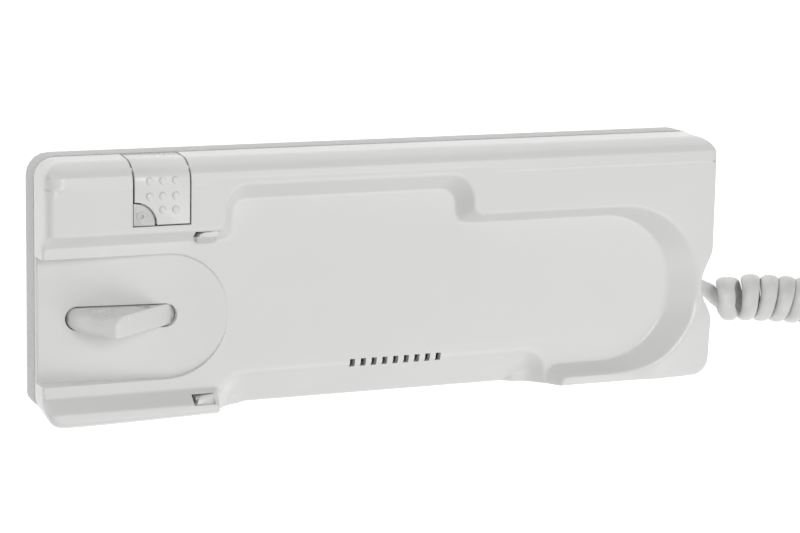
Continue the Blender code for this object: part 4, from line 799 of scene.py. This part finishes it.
def cover_ring(ear, mouth, low, high, radius, flare=0.0):
    """The cover from the front, set in from its four sides. Rings always have the same count of points."""
    long_steps, corner_steps, mouth_steps = 260, 12, 90
    left, right, bottom, top = ear, COVER_LENGTH - mouth, low, COVER_WIDTH - high
    ring = arc(right - radius, top - radius, radius, 0, 90, corner_steps)[:-1]
    length = right - left - 2 * radius
    ring += [(right - radius - length * n / long_steps, top) for n in range(long_steps)]
    ring += arc(left + radius, top - radius, radius, 90, 180, corner_steps)[:-1]
    # The ear end has a point on each row of the mesh that runs along the recess
    rows = RECESS_ROWS[::-1] + (0, -0.04, -RECESS_EDGE)
    edges = [RECESS_HIGH + d for d in rows] + [RECESS_LOW - d for d in rows[::-1]]
    row_top, row_foot, row_count, least_gap = 71.2, 6.8, 92, 0.35
    between = [y for y in np.linspace(row_top, row_foot, row_count)
               if min(abs(y - edge) for edge in edges) > least_gap]
    ring += [(left, y) for y in sorted(between + edges, reverse=True)]
    ring += arc(left + radius, bottom + radius, radius, 180, 270, corner_steps)[:-1]
    ring += [(left + radius + length * n / long_steps, bottom) for n in range(long_steps)]
    ring += arc(right - radius, bottom + radius, radius, 270, 360, corner_steps)[:-1]
    # The mouth end is waisted where the cord leaves
    waist_depth, waist_half = 3.8, 11.5 + 0.7 * mouth
    for n in range(mouth_steps):
        y = bottom + radius + (top - bottom - 2 * radius) * n / mouth_steps
        share = min(1, max(0, (y - AXIS + waist_half) / (2 * waist_half)))
        ring.append((right - waist_depth * math.sin(math.pi * share) ** 1.5, y))
    ring = np.array(ring)
    ring[:, 1] -= flare * lobe_flare(ring[:, 0]) * ease((8 - ring[:, 1]) / 8)
    return ring


def spaced(groups, ring_points, room):
    """Points from groups of (points, least distance), the first groups winning where they crowd.

    They are sorted into square rooms, so that only near neighbours are compared.
    """
    taken = {}
    kept = []

    def add(point, gap):
        """Keeps a point unless another lies nearer than the gap."""
        home = (int(point[0] // room), int(point[1] // room))
        reach = int(math.ceil(gap / room))
        for i in range(home[0] - reach, home[0] + reach + 1):
            for j in range(home[1] - reach, home[1] + reach + 1):
                for other in taken.get((i, j), ()):
                    if math.hypot(point[0] - other[0], point[1] - other[1]) < gap:
                        return
        taken.setdefault(home, []).append(point)
        kept.append(point)

    for point in ring_points:
        taken.setdefault((int(point[0] // room), int(point[1] // room)), []).append(tuple(point))
    for points, gap in groups:
        for point in points:
            add(tuple(point), gap)
    return kept


def lattice(spacing):
    """Points in rows and columns all over the cover."""
    x, y = np.meshgrid(np.arange(spacing, COVER_LENGTH, spacing), np.arange(spacing, COVER_WIDTH, spacing))
    return np.column_stack((x.ravel(), y.ravel()))


def sheet(ring, lines, rows, fine):
    """A flat net inside a ring: edges along the lines, points along the rows, and a finer mesh at bends."""
    wide, narrow, plain, least_bend = 0.9, 0.45, 1.8, 0.006
    flat = [tuple(p) for p in ring]
    edges = [(n, (n + 1) % len(ring)) for n in range(len(ring))]
    for line in lines:
        first = len(flat)
        flat += [tuple(p) for p in line]
        edges += [(n, n + 1) for n in range(first, len(flat) - 1)]
        for end in (first, len(flat) - 1):
            gaps = np.hypot(*(ring - flat[end]).T)
            edges.append((int(gaps.argmin()), end))
    groups = list(rows)
    if fine:
        coarse = lattice(wide)
        coarse = coarse[outside(coarse, ring[::4]) < -0.3]
        here, bends = cover_height(coarse), 0
        for step in ((0.5, 0), (0, 0.5), (0.35, 0.35), (0.35, -0.35)):
            beside = cover_height(coarse + step) + cover_height(coarse - step)
            bends = np.maximum(bends, abs(beside - 2 * here))
        bent = coarse[bends > least_bend]
        around = [bent + np.array((i, j)) * narrow for i in (-1, 0, 1) for j in (-1, 0, 1)]
        around = np.unique(np.round(np.vstack(around) / narrow).astype(int), axis=0) * narrow
        groups.append((around[outside(around, ring[::4]) < -0.3], 0.3))
    rest = lattice(plain)
    groups.append((rest[outside(rest, ring[::4]) < -0.6], 1.2))
    flat += spaced(groups, flat, narrow)
    net = geometry.delaunay_2d_cdt([Vector(p) for p in flat], edges, [], 1, 1e-7)
    order = [-1] * len(ring)
    for number, sources in enumerate(net[3]):
        for source in sources:
            if source < len(ring):
                order[source] = number
    return np.array([tuple(v) for v in net[0]]), [tuple(face) for face in net[2]], order


def offset_rows(ring, distances):
    """Rows inside a ring at the given distances, each given per point of the ring."""
    before, after = np.roll(ring, 1, axis=0), np.roll(ring, -1, axis=0)
    along = after - before
    inward = np.column_stack((-along[:, 1], along[:, 0])) / np.hypot(*along.T)[:, None]
    return [ring + inward * distances[:, n, None] for n in range(distances.shape[1])]


def recess_row(distance):
    """A row along the ear recess at a distance outside its edge."""
    straight = np.arange(1.8, RECESS_ROUND - 0.1, 0.7)
    runs = [(x, RECESS_LOW - distance) for x in straight]
    runs += arc(RECESS_ROUND, AXIS, RECESS_RADIUS + distance, -90, 90, 84)
    return runs + [(x, RECESS_HIGH + distance) for x in straight[::-1]]


def cover_mesh():
    """The cover as one closed shell: its front, its hollow side, and the walls that join them at the seam."""
    corner, base_corner, chamfer_width = 5.5, 6.0, 0.15
    front = cover_ring(EAR_END, MOUTH_END, LOW_SIDE, HIGH_SIDE, corner, 1.0)
    hollow = cover_ring(EAR_END + WALL, MOUTH_END + WALL, LOW_SIDE + WALL + 0.6, HIGH_SIDE + WALL,
                        corner - WALL, 1.0)
    long_x = np.arange(1.9, 218.6, 0.75)
    lines = [recess_row(0.0), recess_row(-0.04)]
    lines += [[(x, step_line(x) + d) for x in long_x] for d in (-0.15, 0.15)]
    lines.append([(x, ROLL[1][0]) for x in long_x])
    edge_angles = np.radians((22, 40, 56, 70, 82, 92))
    edge_rows = offset_rows(front, edge_radius(front)[:, None] * (1 - np.cos(edge_angles))[None])
    rows = [(row, 0.02) for row in edge_rows]
    rows += [(recess_row(d), 0.02) for d in RECESS_ROWS + (-RECESS_EDGE,)]
    rows += [([(x, step_line(x) + d) for x in long_x], 0.1) for d in (-0.5, 0.5)]
    rows += [([(x, y) for x in long_x], 0.05) for y, z in ROLL[2:-1]]
    points, faces, order = sheet(front, lines, rows, True)
    round_by = edge_radius(points)
    inside = np.clip(-outside(points, front), 0, round_by)
    round_drop = round_by - np.sqrt(np.maximum(round_by ** 2 - (round_by - inside) ** 2, 0))
    heights = cover_height(points) - round_drop
    under, under_faces, under_order = sheet(hollow, [], [], False)
    under_heights = cover_height(under, WALL)

    bm = bmesh.new()
    skin = [bm.verts.new(at(x, y, z)) for (x, y), z in zip(points, heights)]
    shell = [bm.verts.new(at(x, y, z)) for (x, y), z in zip(under, under_heights)]
    for net, verts in ((faces, skin), (under_faces, shell)):
        for face in net:
            bm.faces.new([verts[n] for n in face])
    rings = [[skin[n] for n in order]]
    count = len(front)
    base, chamfer, base_hollow = (cover_ring(*[side + inset for side in BASE_SIDES], base_corner - inset)
                                  for inset in (0, chamfer_width, WALL))
    foot = SEAM + chamfer_width
    for share in (0.35, 0.7, 1.0):
        ring = front + (base - front) * share
        rings.append([bm.verts.new(at(*ring[n], heights[order[n]] + (foot - heights[order[n]]) * share))
                      for n in range(count)])
    rings.append([bm.verts.new(at(*p, SEAM)) for p in chamfer])
    rings.append([bm.verts.new(at(*p, SEAM)) for p in base_hollow])
    rings.append([shell[n] for n in under_order])
    for near, far in zip(rings, rings[1:]):
        for n in range(count):
            bm.faces.new((near[n], near[(n + 1) % count], far[(n + 1) % count], far[n]))
    bmesh.ops.recalc_face_normals(bm, faces=bm.faces)
    return bm


def in_finish(piece, slot):
    """Gives a piece one finish all over."""
    piece.data.materials.clear()
    piece.data.materials.append(FINISHES[slot])
    return piece


def block(name, low, high):
    """A box between two corners."""
    deselect_all()
    low, high = at(*low), at(*high)
    bpy.ops.mesh.primitive_cube_add(size=1, calc_uvs=False, location=(low + high) / 2, scale=high - low)
    piece = bpy.context.object
    piece.name = name
    set_place(piece)
    return piece


def slab(name, outline, push):
    """An outline of places made solid: a filled ring, its points moved to them, then pushed out."""
    deselect_all()
    bpy.ops.mesh.primitive_circle_add(vertices=len(outline), fill_type="NGON", calc_uvs=False)
    piece = bpy.context.object
    piece.name = name
    for vert, place in zip(piece.data.vertices, outline):
        vert.co = place
    bpy.ops.object.mode_set(mode="EDIT")
    bpy.ops.mesh.select_all(action="SELECT")
    bpy.ops.mesh.extrude_region_move(TRANSFORM_OT_translate={"value": push})
    bpy.ops.mesh.select_all(action="SELECT")
    bpy.ops.mesh.normals_make_consistent(inside=False)
    bpy.ops.object.mode_set(mode="OBJECT")
    return piece


def rod(name, start, end, radius):
    """A round rod between two places."""
    deselect_all()
    start, end = at(*start), at(*end)
    bpy.ops.mesh.primitive_cylinder_add(vertices=32, radius=radius * MM, depth=(end - start).length,
                                        calc_uvs=False, location=(start + end) / 2,
                                        rotation=(end - start).to_track_quat("Z", "Y").to_euler())
    piece = bpy.context.object
    piece.name = name
    set_place(piece)
    return piece


def make_cover():
    """The cover with its openings cut, and the webs inside that show through the gaps round the button."""
    # Each cutter starts in the hollow and ends outside the face that it opens
    near, far, width = LEVER_SLOT
    half, slot_foot, slot_top = width / 2, 4, 19
    slot = arc(far - half, AXIS, half, -90, 90, 16) + arc(near + half, AXIS, half, 90, 270, 16)
    slot_push = (0, 0, (slot_top - slot_foot) * MM)
    openings = [slab("lever_slot", [at(x, y, slot_foot) for x, y in slot], slot_push)]
    half_x, half_y = VENT_HALF
    for number in range(VENT_COUNT):
        x = VENT_FIRST + VENT_PITCH * number
        openings.append(block("vent", (x - half_x, VENT_Y - half_y, 12), (x + half_x, VENT_Y + half_y, 20)))
    for x, y, long, wide in WINDOWS:
        openings.append(block("latch_window", (x - long, y - wide, 8), (x + long, y + wide, 24)))
    near, far, low = BUTTON_OPENING
    openings.append(block("button_opening", (near, low, 4), (far, 90, 30)))
    y, z, radius = CORD_HOLE
    openings.append(rod("cord_hole", (206, y, z), (222, y, z), radius))
    cover = finish_mesh("cover", cover_mesh())
    cut(cover, joined(openings))

    # Two cheeks stand beside the button's hinge, and a shelf lies under the badge
    cheek, shelf = 2.0, 7.2
    webs = [block("cheek", (x, 71.2, 14.0), (x + cheek, 75.0, 18.2)) for x in (near - cheek, far)]
    webs.append(block("badge_shelf", (near - 1.0, low - 1.2, 18.6), (near + shelf, low + 6.6, 20.6)))
    cover = in_finish(joined([cover] + webs), "cover_plastic")
    shade(cover, 32)
    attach(cover, "housing")
    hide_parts("front_cover")


# Pieces refined from the frame

def refined(node, name, slot, body):
    """A copy of a frame part with its triangles merged back into flat faces, ready to be shaped further."""
    bm = bmesh.new()
    bm.from_mesh(frame["nodes"][node].data)
    bmesh.ops.remove_doubles(bm, verts=bm.verts, dist=0.002 * MM)
    bmesh.ops.dissolve_limit(bm, angle_limit=math.radians(0.5), verts=bm.verts, edges=bm.edges)
    piece = in_finish(finish_mesh(name, bm), slot)
    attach(piece, body)
    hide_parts(node)
    return piece


def low_dome(x, y, z, radius, height):
    """A flat dome that stands out of the face it is sunk in."""
    deselect_all()
    bpy.ops.mesh.primitive_uv_sphere_add(segments=24, ring_count=16, radius=radius * MM, calc_uvs=False,
                                         location=at(x, y, z), scale=(1, 1, height / radius))
    dome = bpy.context.object
    set_place(dome)
    return dome


def latch_tab(x, y, long, wide):
    """The end of a snap hook that fills its window but for a gap at the ear side and a wedge above."""
    tilt = 0.5 if y > AXIS else -0.35
    foot, top = 15, 20.0
    near, far, low, high = x - long, x + long + 0.3, y - wide - 0.2, y + wide
    outline = [(near + 1.3, low), (far, low), (far, high - 0.1),
               (x - 0.5, high - 0.55), (near + 2.0, high - 1.1)]
    tab = slab("latch_tab", [at(*place, foot) for place in outline], (0, 0, (top - foot) * MM))
    for vert in tab.data.vertices:
        if vert.co.z > (foot + top) / 2 * MM:
            vert.co.z += tilt * (vert.co.y - at(x, y, 0).y)
    soften_edges(tab, 0.2, 2, 30)
    return in_finish(tab, "cover_plastic")


def make_plate():
    """The wall plate, its low side and mouth end drawn in to the cover's seam, with its two latches."""
    plate = refined("wall_plate", "wall_plate_moulding", "plate_plastic", "housing")
    mouth, low = BASE_SIDES[1:3]
    for vert in plate.data.vertices:
        x, y = (vert.co.x - cover_low[0]) / MM, (vert.co.y - cover_low[1]) / MM
        vert.co.y += (low + LOW_LINE) * ease((8 - y) / 6) * MM
        vert.co.x -= mouth * ease((x - 212) / 6) * MM
    soften_edges(plate, 0.25, 2, 40)
    plate = joined([plate] + [latch_tab(*window) for window in WINDOWS])
    shade(plate, 35)


KEY_TOP, KEY_WALL = 22.3, 1.25
KEY_NEAR, KEY_FAR, KEY_LOW = 26.45, 43.3, 58.05
KEY_SKIRT = 9.0  # the height of its edge at the seam
KEY_HINGE = (74.0, 19.0)
KEY_STEM = (35.3, 61.3)
KEY_NOTCH = 6.85  # the radius of the corner left out for the badge
KEY_DOTS = [(71.0, (31, 35, 39)), (66.5, (31, 35, 39)), (62.4, (35, 39))]
DOT_RADIUS, DOT_HEIGHT = 1.2, 0.55
BADGE_MOVE = (-0.5, LOW_LINE + 0.4, -0.4)


def key_section(inset):
    """The key's face from the side: flat towards the handset, rolling over the high side down to the seam."""
    roll = np.array([(STEP_LINE, KEY_TOP), (71.2, 22.2)] + ROLL[1:] + [(76.95, 13.5), (77.2, KEY_SKIRT)])
    along = np.gradient(roll, axis=0)
    inward = np.column_stack((along[:, 1], -along[:, 0])) / np.hypot(*along.T)[:, None]
    inner = roll + inward * inset
    inner[-1][1] = KEY_SKIRT
    return [(KEY_LOW + inset, 18.4), (KEY_LOW + inset, KEY_TOP - inset)] + [tuple(p) for p in inner]


def make_key():
    """The button: a hooked cap with a notch for the badge, and its webs, hinge pins, stem and dots."""
    def along_key(name, near, far, outline):
        """A slab with its outline across the phone, from its near side to its far one."""
        return slab(name, [at(near, y, z) for y, z in outline], ((far - near) * MM, 0, 0))

    key = along_key("door_key_cap", KEY_NEAR, KEY_FAR, key_section(0.0) + key_section(KEY_WALL)[::-1])
    beyond, notch_foot, notch_top = 3, 15, 26
    corner = [(KEY_NEAR - beyond, KEY_LOW - beyond), (KEY_NEAR, KEY_LOW - beyond)]
    corner += arc(KEY_NEAR, KEY_LOW, KEY_NOTCH, 0, 90, 24) + [(KEY_NEAR - beyond, KEY_LOW + KEY_NOTCH)]
    notch_push = (0, 0, (notch_top - notch_foot) * MM)
    cut(key, slab("key_notch", [at(x, y, notch_foot) for x, y in corner], notch_push))
    soften_edges(key, 0.2, 2, 50)

    web_inset, web = 0.9, 1.2
    outline = key_section(web_inset)[2:] + [(73.5, KEY_SKIRT), (64.8, 18.2), (64.8, KEY_TOP - 0.5)]
    pieces = [key] + [along_key("key_web", x, x + web, outline)
                      for x in (KEY_NEAR + 0.1, KEY_FAR - web - 0.1)]
    pin, pin_radius, stem_radius = 1.6, 0.75, 1.6
    rods = [rod("key_pin", (x, *KEY_HINGE), (x + pin, *KEY_HINGE), pin_radius)
            for x in (KEY_NEAR - pin + 0.3, KEY_FAR - 0.3)]
    rods.append(rod("key_stem", (*KEY_STEM, 10.2), (*KEY_STEM, 21.2), stem_radius))
    for piece in rods:
        soften_edges(piece, 0.15, 2, 40)
    dots = [low_dome(x, y, KEY_TOP - (0.12 if y > STEP_LINE else 0.0), DOT_RADIUS, DOT_HEIGHT)
            for y, row in KEY_DOTS for x in row]
    key = in_finish(joined(pieces + rods + dots), "key_plastic")
    shade(key, 35)
    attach(key, "door_key")
    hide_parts("door_release_button")


def make_badge():
    """The tile with the key symbol, moved into the button's corner and set level with the front."""
    badge = refined("key_symbol_tile", "key_symbol_badge", "key_plastic", "housing")
    badge.data.materials.clear()
    badge.data.materials.append(polished_abs("Polished ABS, badge", "#CFCFCE", "#CDCDCC", 0.26))
    for vert in badge.data.vertices:
        vert.co += Vector(BADGE_MOVE) * MM
    soften_edges(badge, 0.12, 2, 40)
    shade(badge, 35)


LEVER_NOSE = (9.2, 9.3)  # where the nose starts, in the ear end of the slot
LEVER_APEX = (20.0, 27.6)
LEVER_FOOT = (40.6, 12.9)
LEVER_HALF, LEVER_CORNER, LEVER_WALL = 3.3, 2.6, 2.6


def lever_line(row):
    """The lever's face from the side, the nose sweeping round to the high side at its edge."""
    sweep = 4.2
    swing = sweep * (1 - math.sqrt(max(0.0, 1 - max(0.0, row / LEVER_HALF) ** 2)))
    apex, foot = np.array(LEVER_APEX), np.array(LEVER_FOOT)
    fall = (foot - apex) / np.hypot(*(foot - apex))
    rise = np.array((-0.86, -0.5))
    tip = apex + fall * swing
    x, z = LEVER_NOSE
    pulls = [np.array((x, z)), np.array((x, z + 8.6)),
             tip + rise * (8.0 + 0.6 * swing), tip - fall * 0.5 + rise * 0.4]
    nose = [(1 - t) ** 3 * pulls[0] + 3 * (1 - t) ** 2 * t * pulls[1] + 3 * (1 - t) * t ** 2 * pulls[2]
            + t ** 3 * pulls[3] for t in np.linspace(0, 1, 27)]
    edge = [tip + (rise * 0.12 - fall * 0.12), tip + fall * 0.4]
    start = tip + fall * 0.9
    back = [start + (foot - start) * t for t in np.linspace(0, 1, 22)]
    return np.array(nose + edge + back)


def lever_skin():
    """The lever's shell: a curved nose up to one edge, then a long straight back, round-cornered in plan."""
    steps = [LEVER_CORNER * (1 - np.cos(np.radians(np.linspace(0, 90, count)))) for count in (9, 13)]
    rows = np.concatenate((-LEVER_HALF + steps[0], np.linspace(-0.5, 0.5, 3), LEVER_HALF - steps[1][::-1]))
    nose_points, back_corner = 20, 0.5
    bm = bmesh.new()
    loops = []
    for row in rows:
        outer = lever_line(row)
        count = len(outer)
        along = np.gradient(outer, axis=0)
        inward = np.column_stack((along[:, 1], -along[:, 0])) / np.hypot(*along.T)[:, None]
        past_nose = np.maximum(np.arange(count) - nose_points, 0)
        corner = back_corner + (LEVER_CORNER - back_corner) * np.exp(-past_nose / 2.5)
        into = np.clip(abs(row) - (LEVER_HALF - corner), 0, corner)
        back_off = np.minimum(corner - np.sqrt(np.maximum(corner ** 2 - into ** 2, 0)), LEVER_WALL - 0.2)
        face = outer + inward * back_off[:, None]
        under = outer + inward * LEVER_WALL
        # The two sides are walled down into the slot, as far back as the arm
        wall = ease((abs(row) - 1.9) / 0.3) * ease((32.0 - outer[:, 0]) / 2.0)
        foot = np.column_stack((face[:, 0], np.minimum(face[:, 1] - 0.5, 11.5)))
        under += wall[:, None] * (foot - under)
        line = [tuple(p) for p in face] + [tuple(p) for p in under[::-1]]
        loops.append([bm.verts.new(at(x, AXIS + row, z)) for x, z in line])
    for near, far in zip(loops, loops[1:]):
        for n in range(len(near)):
            after = (n + 1) % len(near)
            bm.faces.new((near[n], near[after], far[after], far[n]))
    for loop in (loops[0], loops[-1]):
        for n in range(count - 1):
            m = 2 * count - 1 - n
            bm.faces.new((loop[n], loop[n + 1], loop[m - 1], loop[m]))
    bmesh.ops.recalc_face_normals(bm, faces=bm.faces)
    return bm


def make_lever():
    """The frame's lever arm with its nose taken off, and the shell of the new nose and back in its place."""
    lever = refined("hook_lever", "hook_lever_arm", "key_plastic", "hook")
    for vert in lever.data.vertices:
        vert.co.y += LOW_LINE * MM
    cut(lever, block("lever_nose_room", (5, AXIS - 6, 3), (27.5, AXIS + 6, 32)))
    soften_edges(lever, 0.35, 3, 24)
    lever = in_finish(joined([lever, finish_mesh("lever_skin", lever_skin())]), "key_plastic")
    shade(lever, 40)


# Stage and lights

WHITE = "#FFFFFF"
FLOOR_GLOW = 0.55
WORLD_LEVEL = 0.28
LIGHT_DISTANCE = 1.1
LIGHTS = [  # name, angle round from +X, angle up, width, height and power
    ("overhead_light", 0, 89.9, 1.5, 1.5, 3.7),
    ("low_side_light", -120, 55, 0.5, 0.5, 0.8),
    ("key_light", 97, 71, 0.36, 0.36, 2.5),
    ("end_light", -55, 42, 0.7, 0.7, 1.5),
    ("mouth_light", 36, 61, 0.3, 0.3, 0.6),
    ("fill_light", -45, 30, 1.2, 1.2, 1.8),
]


def make_floor():
    """A board just under the object that glows evenly, so that the object stands on plain white."""
    deselect_all()
    bpy.ops.mesh.primitive_plane_add(size=6, location=(0, 0, -0.1 * MM))
    floor = bpy.context.object
    floor.name = "floor"
    material = bpy.data.materials.new("Backlit white board")
    material.use_nodes = True
    shader = material.node_tree.nodes["Principled BSDF"]
    shader.inputs["Base Color"].default_value = colour("#EDEDED")
    shader.inputs["Roughness"].default_value = 0.8
    shader.inputs["Emission Color"].default_value = colour(WHITE)
    shader.inputs["Emission Strength"].default_value = FLOOR_GLOW
    floor.data.materials.append(material)


def make_light(name, azimuth, elevation, width, height, power):
    """A soft light that faces the object."""
    data = bpy.data.lights.new(name, "AREA")
    data.shape, data.size, data.size_y, data.energy = "RECTANGLE", width, height, power
    light = bpy.data.objects.new(name, data)
    a, e = math.radians(azimuth), math.radians(elevation)
    spot = Vector((math.cos(a) * math.cos(e), math.sin(a) * math.cos(e), math.sin(e))) * LIGHT_DISTANCE
    light.location = spot
    light.rotation_euler = spot.to_track_quat("Z", "Y").to_euler()
    bpy.context.scene.collection.objects.link(light)


def make_world():
    """The even white light all round."""
    world = bpy.data.worlds.new("studio")
    bpy.context.scene.world = world
    world.use_nodes = True
    backdrop = world.node_tree.nodes["Background"]
    backdrop.inputs["Color"].default_value = colour(WHITE)
    backdrop.inputs["Strength"].default_value = WORLD_LEVEL
    bpy.context.scene.view_settings.view_transform = "Standard"


# The whole object

cord_line, cord_side, cord_widths = cord_path()
cord = in_finish(oval_tube("curly_cord", cord_line, cord_side, cord_widths, CORD_THICKNESS), "cord")
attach(cord, "housing")
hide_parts("cord_lead", "cord_curl", "cord_tail")

make_cover()
make_plate()
make_key()
make_badge()
make_lever()

for part in frame["record"]["subparts"]:
    in_finish(frame["nodes"][part["node"]], part["material_slot"])

make_floor()
make_world()
for light in LIGHTS:
    make_light(*light)
